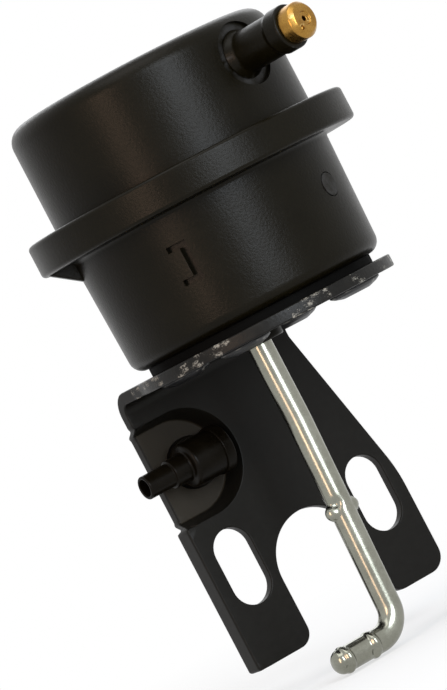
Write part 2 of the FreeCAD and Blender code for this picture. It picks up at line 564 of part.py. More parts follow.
def make_upper_shell():
    """The moulded cap with its flange and the outline of its crown."""
    body = new_body("upper_shell_cap")
    shoulder = "cap_top - cap_crown"
    flange_r = "rim_r - rim_wall - fit_gap"
    sketch = sketch_on(body, "XZ_Plane", "upper_shell_profile")
    corners = [("0", "cap_top"), ("0", CAP_INSIDE), ("cap_r - wall", CAP_INSIDE), ("cap_r - wall", FLANGE_LOW),
               (flange_r, FLANGE_LOW), (flange_r, f"{FLANGE_LOW} + cap_flange_t"),
               ("cap_r", f"{FLANGE_LOW} + cap_flange_t"), ("cap_r", shoulder)]
    spots = [FreeCAD.Vector(size(across), size(up), 0) for across, up in corners]
    for at in range(len(spots) - 1):
        sketch.addGeometry(Part.LineSegment(spots[at], spots[at + 1]), False)
        hold_point(sketch, at, 1, *corners[at])
    hold_point(sketch, len(spots) - 2, 2, *corners[-1])
    for at in range(len(spots) - 2):
        sketch.addConstraint(Sketcher.Constraint("Coincident", at, 2, at + 1, 1))
    rise, reach = size("cap_crown"), size("cap_r")
    radius = (rise * rise + reach * reach) / (2 * rise)
    centre = FreeCAD.Vector(0, size("cap_top") - radius, 0)
    half = math.asin(reach / radius)
    crown = sketch.addGeometry(Part.ArcOfCircle(Part.Circle(centre, FreeCAD.Vector(0, 0, 1), radius),
                                                math.pi / 2 - half, math.pi / 2), False)
    sketch.addConstraint(Sketcher.Constraint("Coincident", crown, 1, len(spots) - 2, 2))
    sketch.addConstraint(Sketcher.Constraint("Coincident", crown, 2, 0, 1))
    sketch.addConstraint(Sketcher.Constraint("PointOnObject", crown, 3, -2))
    feature = body.newObject("PartDesign::Revolution", "upper_shell_turn")
    feature.Profile = sketch
    feature.ReferenceAxis = (sketch, ["V_Axis"])
    feature.Angle = 360
    round_edges(body, ring_at("cap_r", shoulder), "cap_edge_r", "upper_shell_shoulder")
    round_edges(body, ring_at("cap_r - wall", CAP_INSIDE), "wall", "upper_shell_inside")

    well = lying_turn("upper_shell_well", [("nipple_well_in", "0"), ("2 * cap_r", "0"),
                                           ("2 * cap_r", "nipple_well_r"), ("nipple_well_in", "nipple_well_r")])
    nipple = lying_turn("upper_shell_nipple", [
        ("cap_r - 2 * wall", "0"), ("nipple_end", "0"), ("nipple_end", "nipple_collar_r - wall / 4"),
        ("nipple_end - wall / 4", "nipple_collar_r"), ("nipple_collar_in + wall / 2", "nipple_collar_r"),
        ("nipple_collar_in", "nipple_r"), ("cap_r - 2 * wall", "nipple_r")])
    bore = lying_turn("upper_shell_bore", [("cap_r - 3 * wall", "0"), ("2 * cap_r", "0"),
                                           ("2 * cap_r", "nipple_bore_r"), ("cap_r - 3 * wall", "nipple_bore_r")])
    for tool in (well, nipple, bore):
        place(tool, up="nipple_z", axis=(0, 0, 1), angle="nipple_angle - 90")
    with_well = combine("Cut", "upper_shell_with_well", body, well)
    with_nipple = combine("Fuse", "upper_shell_with_nipple", with_well, nipple)
    shell = combine("Cut", "upper_shell", with_nipple, bore)
    place_on_bracket(shell)
    return shell


def lying_turn(name, corners):
    """A body turned about the local X axis."""
    body = new_body(name)
    turn_profile(body, corners, role="XZ_Plane", axis="H_Axis")
    return body


def make_jet():
    """The brass restrictor pressed into the end of the vacuum nipple."""
    body = lying_turn("restrictor_jet", [
        ("nipple_end - jet_shank", "jet_hole_r"), ("jet_end", "jet_hole_r"), ("jet_end", "jet_r - 1.2"),
        ("jet_end - 0.9", "jet_r - 0.2"), ("jet_end - 1.5", "jet_r"), ("nipple_end", "jet_r"),
        ("nipple_end", "nipple_bore_r - fit_gap"), ("nipple_end - jet_shank", "nipple_bore_r - fit_gap")])
    place_on_bracket(body, up="nipple_z", axis=(0, 0, 1), angle="nipple_angle - 90")
    return body


def make_gasket():
    """The rubber gasket between the lower shell and the bracket's disc."""
    body = new_body("base_gasket")
    sketch = sketch_on(body, "XY_Plane", "base_gasket_ring")
    draw_circle(sketch, "0", "0", "gasket_r")
    draw_circle(sketch, "0", "0", "gasket_bore_r")
    draw_screw_holes(sketch, "screw_r + screw_gap")
    pad(body, sketch, "gasket_t")
    place_on_bracket(body)
    return body


def make_screws():
    """Four domed screws from below, as one group of separate solids."""
    screws = []
    for number, (across, back) in enumerate(SCREW_PLACES, start=1):
        body = new_body(f"canister_screw_{number}")
        turn_profile(body, [("0", "-screw_head_rise"), ("screw_head_r * 0.55", "-screw_head_rise * 0.85"),
                            ("screw_head_r * 0.88", "-screw_head_rise * 0.5"), ("screw_head_r", "-0.3"),
                            ("screw_head_r", "0"), ("screw_r - fit_gap", "0"),
                            ("screw_r - fit_gap", "screw_length - 0.6"), ("screw_r - 0.6", "screw_length"),
                            ("0", "screw_length")])
        place(body, f"{across:.0f} * {SCREW_OFFSET}", f"{back:.0f} * {SCREW_OFFSET}", "-sheet_t")
        screws.append(body)
    group = doc.addObject("Part::Compound", "canister_screws")
    group.Links = screws
    group.Label = "canister_screws"
    place_on_bracket(group)
    return group


def make_bush():
    """The plain bush that guides the rod."""
    return make_ring("rod_bush", "rod_r + bush_gap", "bush_r - fit_gap", BUSH_LOW, "bush_length", "rod_x", "rod_y")


def make_wiper():
    """The felt ring that keeps dirt off the rod."""
    return make_ring("felt_wiper", "rod_r + wiper_gap", "bush_r - fit_gap",
                     f"{BUSH_LOW} - seat_gap - wiper_t", "wiper_t", "rod_x", "rod_y")


def make_keeper():
    """The steel ring that keeps the felt in."""
    return make_ring("wiper_keeper", "keeper_bore_r", "bush_r - fit_gap",
                     f"{BUSH_LOW} - 2 * seat_gap - wiper_t - keeper_t", "keeper_t", "rod_x", "rod_y")


def make_bumper():
    """The rubber ring that stops the piston's assembly at rest."""
    return make_ring("stop_bumper", "bumper_bore_r", "bumper_r", CUP_FLOOR, "bumper_rise")


def make_diaphragm():
    """The rolling diaphragm, with its bead in the rim and its roll round the piston."""
    body = new_body("diaphragm")
    inside, outside = ROLL_IN, ROLL_OUT
    ledge = f"{RIM_LEDGE} + seat_gap"
    crest = f"{ledge} + roll_rise"
    bead_in, bead_out = f"{BEAD_R} - bead_w / 2", f"{BEAD_R} + bead_w / 2"
    turn_profile(body, [
        ("0", SHEET_LOW), (f"{inside} + rubber_t", SHEET_LOW), (f"{inside} + rubber_t", crest),
        (f"{outside} - rubber_t", crest), (f"{outside} - rubber_t", ledge), (bead_in, ledge),
        (bead_in, f"{ledge} - bead_rise"), (bead_out, f"{ledge} - bead_rise"), (bead_out, f"{ledge} + rubber_t"),
        (outside, f"{ledge} + rubber_t"), (outside, f"{crest} + rubber_t"), (inside, f"{crest} + rubber_t"),
        (inside, f"{SHEET_LOW} + rubber_t"), ("0", f"{SHEET_LOW} + rubber_t")])
    hole = sketch_on(body, "XY_Plane", "diaphragm_hole")
    draw_circle(hole, "rod_x", "rod_y", "rod_neck_r + wiper_gap")
    pad(body, hole, f"{SHEET_LOW} + 2 * rubber_t", backwards=True, cut=True)
    for radius in (inside, outside):
        round_edges(body, ring_at(radius, f"{crest} + rubber_t"), "rubber_t * 2", f"diaphragm_crest_{radius == inside:d}")
    for radius in (f"{inside} + rubber_t", f"{outside} - rubber_t"):
        round_edges(body, ring_at(radius, crest), "rubber_t", f"diaphragm_under_{'inside' in radius:d}_{len(radius)}")
    round_edges(body, ring_at(f"{inside} + rubber_t", SHEET_LOW), "rubber_t * 2", "diaphragm_heel")
    place_on_bracket(body)
    return body


def make_piston():
    """The cup that carries the spring and pushes the diaphragm."""
    body = new_body("piston")
    top = f"{PISTON_LOW} + piston_rise"
    ridge_in = "spring_r - spring_wire_r - piston_wall - 0.4"
    ridge_out = "spring_r - spring_wire_r - 0.4"
    turn_profile(body, [
        ("0", PISTON_LOW), ("piston_r", PISTON_LOW), ("piston_r", top), ("piston_r - piston_wall", top),
        ("piston_r - piston_wall", PISTON_FLOOR), (ridge_out, PISTON_FLOOR),
        (ridge_out, f"{PISTON_FLOOR} + piston_wall"), (ridge_in, f"{PISTON_FLOOR} + piston_wall"),
        (ridge_in, PISTON_FLOOR), ("0", PISTON_FLOOR)])
    hole = sketch_on(body, "XY_Plane", "piston_hole")
    draw_circle(hole, "rod_x", "rod_y", "rod_neck_r + fit_gap")
    pad(body, hole, f"{PISTON_FLOOR} + piston_rise", backwards=True, cut=True)
    round_edges(body, ring_at("piston_r", PISTON_LOW), "rubber_t * 1.5", "piston_heel")
    place_on_bracket(body)
    return body


def make_backing_plate():
    """The steel plate under the diaphragm."""
    body = new_body("backing_plate")
    turn_profile(body, [("0", BACKING_LOW), ("backing_r", BACKING_LOW), ("backing_r", f"{BACKING_LOW} + backing_t"),
                        ("0", f"{BACKING_LOW} + backing_t")])
    hole = sketch_on(body, "XY_Plane", "backing_plate_hole")
    draw_circle(hole, "rod_x", "rod_y", "rod_neck_r + fit_gap")
    pad(body, hole, f"{BACKING_LOW} + 2 * backing_t", backwards=True, cut=True)
    place_on_bracket(body)
    return body


def make_washer():
    """The washer under the rod's riveted head."""
    return make_ring("rivet_washer", "rod_neck_r + fit_gap", "washer_r", WASHER_LOW, "washer_t", "rod_x", "rod_y")


def make_spring_seat():
    """The steel ring that seats the spring under the roof."""
    return make_ring("spring_seat", "spring_r - spring_ring_w / 2", "spring_r + spring_ring_w / 2",
                     f"{CAP_INSIDE} - seat_gap - spring_ring_t", "spring_ring_t")


def make_spring():
    """The return spring: one round wire along a helix, its ends ground flat."""
    low = size(f"{PISTON_FLOOR} + seat_gap")
    high = size(f"{CAP_INSIDE} - 2 * seat_gap - spring_ring_t")
    radius, wire_r, turns = size("spring_r"), size("spring_wire_r"), size("spring_turns")
    height = high - low
    helix = Part.makeHelix(height / turns, height, radius)
    start = Part.Circle(FreeCAD.Vector(radius, 0, 0), FreeCAD.Vector(0, 1, 0), wire_r)
    wire = Part.Wire(helix).makePipeShell([Part.Wire(start.toShape())], True, True)
    ends = Part.makeCylinder(radius + 2 * wire_r, height)
    spring = doc.addObject("Part::Feature", "return_spring")
    spring.Shape = wire.common(ends)
    spring.Label = "return_spring"
    place_on_bracket(spring, up=f"{PISTON_FLOOR} + seat_gap")
    return spring


def make_cylinder(name, radius, length, across="0", back="0", up="0", turn=None):
    """A round bar, along Z or turned by a fixed rotation, placed by formulas."""
    bar = doc.addObject("Part::Cylinder", name)
    bind(bar, Radius=radius, Height=length)
    if turn is not None:
        bar.Placement = FreeCAD.Placement(FreeCAD.Vector(), turn)
    bind(bar, Placement__Base__x=across, Placement__Base__y=back, Placement__Base__z=up)
    return bar


def make_ellipsoid(name, half_x, half_y, half_z, across="0", up="0"):
    """An ellipsoid with its three half axes along X, Y and Z."""
    lens = doc.addObject("Part::Ellipsoid", name)
    bind(lens, Radius1=half_z, Radius2=half_x, Radius3=half_y)
    lens.Angle1, lens.Angle2, lens.Angle3 = -90, 90, 360
    bind(lens, Placement__Base__x=across, Placement__Base__z=up)
    return lens


TO_LEFT = FreeCAD.Rotation(FreeCAD.Vector(0, 1, 0), -90)
TO_REAR = FreeCAD.Rotation(FreeCAD.Vector(1, 0, 0), -90)


def draw_rod_path(sketch, top):
    """The rod's axis: straight down, leaning a little to the left, then round the bend to the tip."""
    lean, ease, bend = math.radians(size("rod_lean")), size("rod_lean_r"), size("rod_bend_r")
    kink, drop = size("rod_kink_drop"), size("rod_drop")
    normal = FreeCAD.Vector(0, 0, 1)
    ease_centre = FreeCAD.Vector(-ease, -kink, 0)
    ease_end = ease_centre + FreeCAD.Vector(math.cos(lean), -math.sin(lean), 0) * ease
    bend_start_z = -drop + bend - bend * math.sin(lean)
    bend_start = FreeCAD.Vector(ease_end.x - (ease_end.y - bend_start_z) * math.tan(lean), bend_start_z, 0)
    bend_centre = bend_start + FreeCAD.Vector(-math.cos(lean), math.sin(lean), 0) * bend
    guided = sketch.addGeometry(Part.LineSegment(FreeCAD.Vector(0, size(top), 0), FreeCAD.Vector(0, -kink, 0)), False)
    easing = sketch.addGeometry(Part.ArcOfCircle(Part.Circle(ease_centre, normal, ease), -lean, 0), False)
    leaning = sketch.addGeometry(Part.LineSegment(ease_end, bend_start), False)
    bending = sketch.addGeometry(Part.ArcOfCircle(Part.Circle(bend_centre, normal, bend), -math.pi / 2, -lean), False)
    level = FreeCAD.Vector(bend_centre.x, -drop, 0)
    foot = sketch.addGeometry(Part.LineSegment(level, FreeCAD.Vector(-size("rod_foot"), -drop, 0)), False)
    for one, end, other, start in ((guided, 2, easing, 2), (easing, 1, leaning, 1), (leaning, 2, bending, 2),
                                   (bending, 1, foot, 1)):
        sketch.addConstraint(Sketcher.Constraint("Tangent", one, end, other, start))
    hold_point(sketch, guided, 1, "0", top)
    hold_point(sketch, guided, 2, "0", "-rod_kink_drop")
    hold_point(sketch, foot, 2, "-rod_foot", "-rod_drop")
    hold_radius(sketch, easing, "rod_lean_r")
    hold_radius(sketch, bending, "rod_bend_r")
    sketch.addConstraint(Sketcher.Constraint("Horizontal", foot))
    index = sketch.addConstraint(Sketcher.Constraint("Angle", easing, lean))
    sketch.setExpression(f"Constraints[{index}]", formula("rod_lean"))


def make_rod():
    """The bent control rod: riveted neck, collar, guided shank, pressed ears, bend and journal."""
    shoulder = f"{BACKING_LOW} - seat_gap"
    top = f"{WASHER_LOW} + washer_t + rod_head_rise + seat_gap"
    body = new_body("rod_bar")
    path = sketch_on(body, "XZ_Plane", "rod_path")
    draw_rod_path(path, shoulder)
    section = sketch_on(body, "XY_Plane", "rod_section", lift=shoulder)
    draw_circle(section, "0", "0", "rod_r")
    bar = body.newObject("PartDesign::AdditivePipe", "rod_pipe")
    bar.Profile = section
    bar.Spine = (path, [])
    turn_profile(body, [
        ("0", f"{shoulder} - rod_collar_t - rod_r"), ("rod_r * 0.9", f"{shoulder} - rod_collar_t - rod_r"),
        ("rod_r * 0.9", f"{shoulder} - rod_collar_t"), ("rod_collar_r", f"{shoulder} - rod_collar_t"),
        ("rod_collar_r", shoulder), ("rod_neck_r", shoulder), ("rod_neck_r", f"{WASHER_LOW} + washer_t + seat_gap"),
        ("rod_head_r", f"{WASHER_LOW} + washer_t + seat_gap"), ("rod_head_r", f"{top} - rod_head_rise / 2"),
        ("rod_head_r * 0.6", top), ("0", top)])
    tip_x = -size("rod_foot")
    round_edges(body, lambda edge, middle: abs(middle.x - tip_x) < 0.01, "rod_tip_r", "rod_tip")
    ears = make_ellipsoid("rod_ears", "ear_spread", "ear_t", "ear_half",
                          across="-(ear_drop - rod_kink_drop) * tan(rod_lean * 1 deg)", up="-ear_drop")
    inner_stop = make_ellipsoid("rod_inner_stop", "stop_t / 2", "stop_spread", "stop_spread * 0.84",
                                across="-journal_in + stop_t / 2", up="-rod_drop")
    outer_stop = make_ellipsoid("rod_outer_stop", "stop_t / 2", "stop_spread", "stop_spread * 0.84",
                                across="-journal_in - journal - stop_t / 2", up="-rod_drop")
    rod = doc.addObject("Part::MultiFuse", "rod")
    rod.Shapes = [body, ears, inner_stop, outer_stop]
    rod.Label = "rod"
    place_on_bracket(rod, "rod_x", "rod_y")
    return rod


def make_elbow():
    """The signal port: a lying body with collar and tube to the left, and a stem to the rear."""
    dish_z = "slot_drop - dish_drop"
    turned = lying_turn("port_elbow_arm", [
        (f"-{ELBOW_OPEN_X} + elbow_body", "0"), (f"-{ELBOW_OPEN_X} + elbow_body", "elbow_ring_r"),
        (f"-{ELBOW_OPEN_X} + elbow_body - elbow_ring_t", "elbow_ring_r"),
        (f"-{ELBOW_OPEN_X} + elbow_body - elbow_ring_t", "elbow_r"), (f"-{ELBOW_OPEN_X} + 0.5", "elbow_r"),
        (f"-{ELBOW_OPEN_X}", "elbow_r - 0.5"), (f"-{ELBOW_OPEN_X}", "port_collar_r"),
        (f"-{ELBOW_OPEN_X} - port_collar", "port_collar_r"), (f"-{ELBOW_OPEN_X} - port_collar", "port_r"),
        (f"-{ELBOW_OPEN_X} - port_collar - port_length", "port_r"),
        (f"-{ELBOW_OPEN_X} - port_collar - port_length", "0")])
    place(turned, back=ELBOW_Y, up=dish_z)
    stem_length = f"elbow_ring_r + port_gasket_t + sheet_t + stem_tail"
    stem = make_cylinder("port_elbow_stem", "stem_r", stem_length, "-elbow_x", ELBOW_Y, dish_z, TO_REAR)
    foot = make_cylinder("port_elbow_foot", "port_gasket_r", "elbow_ring_r", "-elbow_x", ELBOW_Y, dish_z, TO_REAR)
    foot_room = doc.addObject("Part::Box", "port_elbow_foot_room")
    bind(foot_room, Length="4 * elbow_r", Width="1.2", Height="4 * elbow_r",
         Placement__Base__x="-elbow_x - 2 * elbow_r", Placement__Base__y=f"{ELBOW_Y} + elbow_ring_r - 1.2",
         Placement__Base__z=f"{dish_z} - 2 * elbow_r")
    base = combine("Common", "port_elbow_base", foot, foot_room)
    solid = doc.addObject("Part::MultiFuse", "port_elbow_solid")
    solid.Shapes = [turned, stem, base]
    solid.Refine = True
    arm_bore = make_cylinder("port_elbow_arm_bore", "port_bore_r", "elbow_x + elbow_body", "-elbow_x",
                             ELBOW_Y, dish_z, TO_LEFT)
    stem_bore = make_cylinder("port_elbow_stem_bore", "port_bore_r", f"2 * ({stem_length})", "-elbow_x",
                              ELBOW_Y, dish_z, TO_REAR)
    bores = combine("Fuse", "port_elbow_bores", arm_bore, stem_bore)
    return combine("Cut", "port_elbow", solid, bores)


def make_flat_ring_behind(name, inner, outer, thickness, back):
    """A flat ring on the port's stem, its front face at a given place."""
    outside = make_cylinder(f"{name}_disc", outer, thickness, "-elbow_x", back, "slot_drop - dish_drop", TO_REAR)
    inside = make_cylinder(f"{name}_hole", inner, f"3 * ({thickness})", "-elbow_x", f"{back} - {thickness}",
                           "slot_drop - dish_drop", TO_REAR)
    return combine("Cut", name, outside, inside)


def make_port_gasket():
    """The rubber ring between the port and the dish."""
    return make_flat_ring_behind("port_gasket", "stem_r + stem_gap", "port_gasket_r", "port_gasket_t",
                                 f"{DISH_FLOOR_Y} - port_gasket_t")


def make_port_clip():
    """The spring clip that holds the port's stem behind the dish."""
    return make_flat_ring_behind("port_clip", "stem_r + fit_gap", "clip_r", "clip_t", "dish_depth")


pieces = [make_bracket(), make_lower_shell(), make_upper_shell(), make_jet(), make_gasket(), make_screws(), make_bush(),
          make_wiper(), make_keeper(), make_bumper(), make_diaphragm(), make_piston(), make_backing_plate(),
          make_washer(), make_spring_seat(), make_spring(), make_rod(), make_elbow(), make_port_gasket(),
          make_port_clip()]
doc.recompute()

for thing in doc.Objects:
    if "Invalid" in thing.State or "Error" in thing.State:
        raise RuntimeError(f"{thing.Name} did not build: {thing.State}")
os.makedirs("parts", exist_ok=True)
for piece in pieces:
    shape = piece.Shape
    if shape.isNull() or not shape.isValid():
        raise RuntimeError(f"{piece.Label} has no valid shape")
    shape.exportStep(f"parts/{piece.Label}.step")
    box = shape.BoundBox
    print(f"{piece.Label}: {len(shape.Solids)} solid(s), {shape.Volume:.1f} mm3, "
          f"X {box.XMin:.1f} to {box.XMax:.1f}, Y {box.YMin:.1f} to {box.YMax:.1f}, "
          f"Z {box.ZMin:.1f} to {box.ZMax:.1f}")
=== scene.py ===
# %% [markdown]
# # A vacuum canister, its bracket and its bent rod
# The real object is a small actuator: a black moulded canister stands on a folded steel
# bracket, and a bright rod leaves it below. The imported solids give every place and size.
# This lesson dresses them. Some solids only need a finish. The pieces that the eye rests on
# are made again with soft edges, because a moulded or pressed edge is never sharp.

# %% Load the frame
import math

import bmesh
import bpy
import numpy as np
from mathutils import Matrix, Vector
from mathutils.geometry import delaunay_2d_cdt


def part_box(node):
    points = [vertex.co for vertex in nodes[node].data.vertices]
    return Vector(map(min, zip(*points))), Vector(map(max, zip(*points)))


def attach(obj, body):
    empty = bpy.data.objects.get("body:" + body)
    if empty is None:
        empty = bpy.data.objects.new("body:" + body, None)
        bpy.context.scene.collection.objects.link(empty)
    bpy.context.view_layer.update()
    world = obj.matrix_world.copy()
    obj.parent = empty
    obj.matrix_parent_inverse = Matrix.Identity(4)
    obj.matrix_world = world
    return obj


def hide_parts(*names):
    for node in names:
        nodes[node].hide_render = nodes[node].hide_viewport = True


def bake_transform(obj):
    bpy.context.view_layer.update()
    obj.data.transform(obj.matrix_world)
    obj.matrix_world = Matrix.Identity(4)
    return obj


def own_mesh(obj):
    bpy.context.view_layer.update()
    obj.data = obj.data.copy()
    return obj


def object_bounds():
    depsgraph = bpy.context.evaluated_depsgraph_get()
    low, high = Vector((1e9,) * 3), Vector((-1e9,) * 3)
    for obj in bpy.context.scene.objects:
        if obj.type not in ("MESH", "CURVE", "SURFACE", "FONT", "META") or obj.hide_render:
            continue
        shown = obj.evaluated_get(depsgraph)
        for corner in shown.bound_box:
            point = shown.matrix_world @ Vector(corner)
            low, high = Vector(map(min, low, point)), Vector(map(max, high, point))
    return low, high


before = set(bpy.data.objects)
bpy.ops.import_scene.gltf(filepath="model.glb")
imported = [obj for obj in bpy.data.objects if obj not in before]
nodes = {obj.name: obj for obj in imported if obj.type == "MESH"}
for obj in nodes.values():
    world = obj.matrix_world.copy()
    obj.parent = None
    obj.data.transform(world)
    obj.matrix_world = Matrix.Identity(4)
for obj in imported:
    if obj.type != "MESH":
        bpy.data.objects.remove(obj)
solid_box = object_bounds()
MM = 0.001
print("solids:", len(nodes), "box:", [[round(v, 4) for v in corner] for corner in solid_box])

# %% [markdown]
# ## The camera
# The photograph was taken from the left of the front, level with the bracket's disc, and the
# object leans in it. A view could be found by eye, but then few edges would fall on their
# places. So a camera was fitted to the ellipses and edges of the photograph, and its place
# and turn are plain numbers here. A long lens from 0.8 m keeps the sides nearly parallel,
# where a short one close by would make the rim bulge.

# %% Place the camera
scene = bpy.context.scene
camera_data = bpy.data.cameras.new("camera")
camera_data.lens = 230.57
camera_data.sensor_width = 36.0
camera_data.clip_start = 0.01
camera = bpy.data.objects.new("camera", camera_data)
camera.location = (-0.39375, -0.72506, 0.04144)
camera.rotation_euler = [math.radians(turn) for turn in (89.707, 27.656, -28.840)]
scene.collection.objects.link(camera)
scene.camera = camera
scene.view_settings.view_transform = "Standard"
print("camera distance:", round(camera.location.length, 3), "m")

# %% [markdown]
# ## Outlines with round corners
# Most moulded and turned pieces are one outline spun about an axis. A bevel on the finished
# mesh could soften the edges, but it stumbles where small and large radii meet. Here every
# corner of the outline has its own radius, in millimetres, and is rounded before anything is
# spun. That gives clean edges, each with the softness that it has on the real piece.

# %% Round the corners of an outline
def round_corners(corners, steps=6):
    """Points of a closed outline from (across, up, radius) corners, in millimetres."""
    points = []
    for at, (across, up, radius) in enumerate(corners):
        here = Vector((across, up))
        if radius <= 0:
            points.append(here)
            continue
        back = Vector(corners[at - 1][:2]) - here
        ahead = Vector(corners[(at + 1) % len(corners)][:2]) - here
        half = back.angle(ahead) / 2
        reach = min(radius / math.tan(half), back.length * 0.499, ahead.length * 0.499)
        to_middle = (back.normalized() + ahead.normalized()).normalized()
        middle = here + to_middle * (reach * math.tan(half)) / math.sin(half)
        first = here + back.normalized() * reach - middle
        last = here + ahead.normalized() * reach - middle
        turn = first.angle(last)
        for step in range(steps + 1):
            share = step / steps
            swing = first * math.sin((1 - share) * turn) + last * math.sin(share * turn)
            points.append(middle + swing / math.sin(turn))
    return points


corner_test = round_corners([(0, 0, 1), (4, 0, 1), (4, 4, 1), (0, 4, 1)])
print("a square with four rounded corners has", len(corner_test), "points")

# %% [markdown]
# ## Spinning
# A lathe or a round mould makes a body from one outline, and so does this. Blender's Screw
# modifier would do it too, but a spin in code closes the poles on the axis and points all
# faces outwards in the same step, so no seam is left to clean.

# %% Spin an outline into a closed mesh
def spin_outline(points, segments=144):
    """A bmesh in metres from outline points in millimetres. Points on the axis become poles."""
    mesh, rings = bmesh.new(), []
    turns = [math.tau * at / segments for at in range(segments)]
    for across, up in points:
        if across < 1e-6:
            rings.append([mesh.verts.new((0, 0, up * MM))])
        else:
            rings.append([mesh.verts.new((across * MM * math.cos(turn),
                                          across * MM * math.sin(turn), up * MM))
                          for turn in turns])
    for low, high in zip(rings, rings[1:] + rings[:1]):
        for at in range(segments):
            ahead = (at + 1) % segments
            if len(low) > 1 and len(high) > 1:
                mesh.faces.new((low[at], low[ahead], high[ahead], high[at]))
            elif len(low) > 1:
                mesh.faces.new((low[at], low[ahead], high[0]))
            elif len(high) > 1:
                mesh.faces.new((low[0], high[at], high[ahead]))
    bmesh.ops.recalc_face_normals(mesh, faces=mesh.faces)
    return mesh


spin_test = spin_outline(corner_test, 12)
print("spun in 12 steps, it has", len(spin_test.faces), "faces")
spin_test.free()

# %% [markdown]
# ## From a bmesh to a finished object
# A finished piece stands at the origin with its place in its mesh, like the solids. Shapes
# are cut or joined with a Boolean, which is baked at once, so that no modifier is left. On a
# moulding the flat faces look flat and the narrow roundings carry the shine. Plain smooth
# shading smears the two, so the normals are weighted by the size of the faces.

# %% Turn a bmesh into a finished object
def as_object(name, mesh, place=Matrix()):
    """An object at the origin, with its place in its mesh and smooth across flat edges."""
    mesh.transform(place)
    data = bpy.data.meshes.new(name)
    mesh.to_mesh(data)
    mesh.free()
    thing = bpy.data.objects.new(name, data)
    scene.collection.objects.link(thing)
    shade(thing, 40)
    return thing


def shade(thing, degrees):
    """Smooth shading, with every edge that turns more than the angle kept sharp."""
    thing.data.shade_smooth()
    thing.data.set_sharp_from_angle(angle=math.radians(degrees))


def settle(thing):
    """Bake an object's modifiers into its mesh."""
    graph = bpy.context.evaluated_depsgraph_get()
    graph.update()
    data = bpy.data.meshes.new_from_object(thing.evaluated_get(graph))
    thing.modifiers.clear()
    old, thing.data = thing.data, data
    data.name = thing.name
    bpy.data.meshes.remove(old)
    return thing


def carve(thing, tool, how="DIFFERENCE"):
    """Cut a tool out of an object, or join it on, and remove the tool."""
    change = thing.modifiers.new("carve", "BOOLEAN")
    change.operation, change.solver, change.object = how, "EXACT", tool
    settle(thing)
    bpy.data.objects.remove(tool)


def even_light(thing, degrees):
    """Weight the normals by face area, so that flat faces stay flat beside their roundings."""
    shade(thing, degrees)
    change = thing.modifiers.new("weights", "WEIGHTED_NORMAL")
    change.keep_sharp = True
    return settle(thing)


print("mesh tools:", [tool.__name__ for tool in (as_object, shade, settle, carve, even_light)])

# %% [markdown]
# ## Node groups in code
# Grain, cloudiness, specks and paler edges, which are partly wear and partly painted highlight,
# come back on several finishes. They could be copied into every material, but a fault would
# then have to be mended many times. Each is a node group with named inputs instead, built
# once. Four helpers keep the code short: they make a group with its sockets, add a node with
# its values, join the wires, and stretch a part of a noise's values to run from 0 to 1.

# %% Write the node helpers
FLOAT, COLOUR, VECTOR = "NodeSocketFloat", "NodeSocketColor", "NodeSocketVector"


def new_group(name, inputs, outputs, kind="ShaderNodeTree"):
    """A node group, the sockets that it is given and the sockets that it fills."""
    group = bpy.data.node_groups.new(name, kind)
    for title, socket_type, *value in inputs:
        socket = group.interface.new_socket(title, in_out="INPUT", socket_type=socket_type)
        if value:
            socket.default_value = value[0]
    for title, socket_type in outputs:
        group.interface.new_socket(title, in_out="OUTPUT", socket_type=socket_type)
    given, made = group.nodes.new("NodeGroupInput"), group.nodes.new("NodeGroupOutput")
    return group, given.outputs, made.inputs


def add_node(tree, kind, **settings):
    """A node with its properties and its plain input values set."""
    node = tree.nodes.new(kind)
    for key, value in settings.items():
        if hasattr(node, key):
            setattr(node, key, value)
        else:
            node.inputs[key.replace("_", " ")].default_value = value
    return node


def join(tree, *wires):
    """Join sockets. Each wire names where it starts and where it ends."""
    for start, end in wires:
        tree.links.new(start, end)


def ramp_between(tree, source, low, high):
    """A Map Range node from low..high to 0..1."""
    node = tree.nodes.new("ShaderNodeMapRange")
    node.inputs["From Min"].default_value = low
    node.inputs["From Max"].default_value = high
    join(tree, (source, node.inputs["Value"]))
    return node.outputs["Result"]


print("node helpers:", [tool.__name__ for tool in (new_group, add_node, join, ramp_between)])

# %% [markdown]
# ## Cloudiness and grain
# No moulding or paint has one even colour. A wide soft noise gives the cloudy places, and a
# fine one gives the grain that breaks up the shine. An image texture could hold both, but it
# needs an unwrapped surface. Noise on Object coordinates needs none. The coordinates are in
# metres, so a scale of 2000 means features of about half a millimetre on every piece.

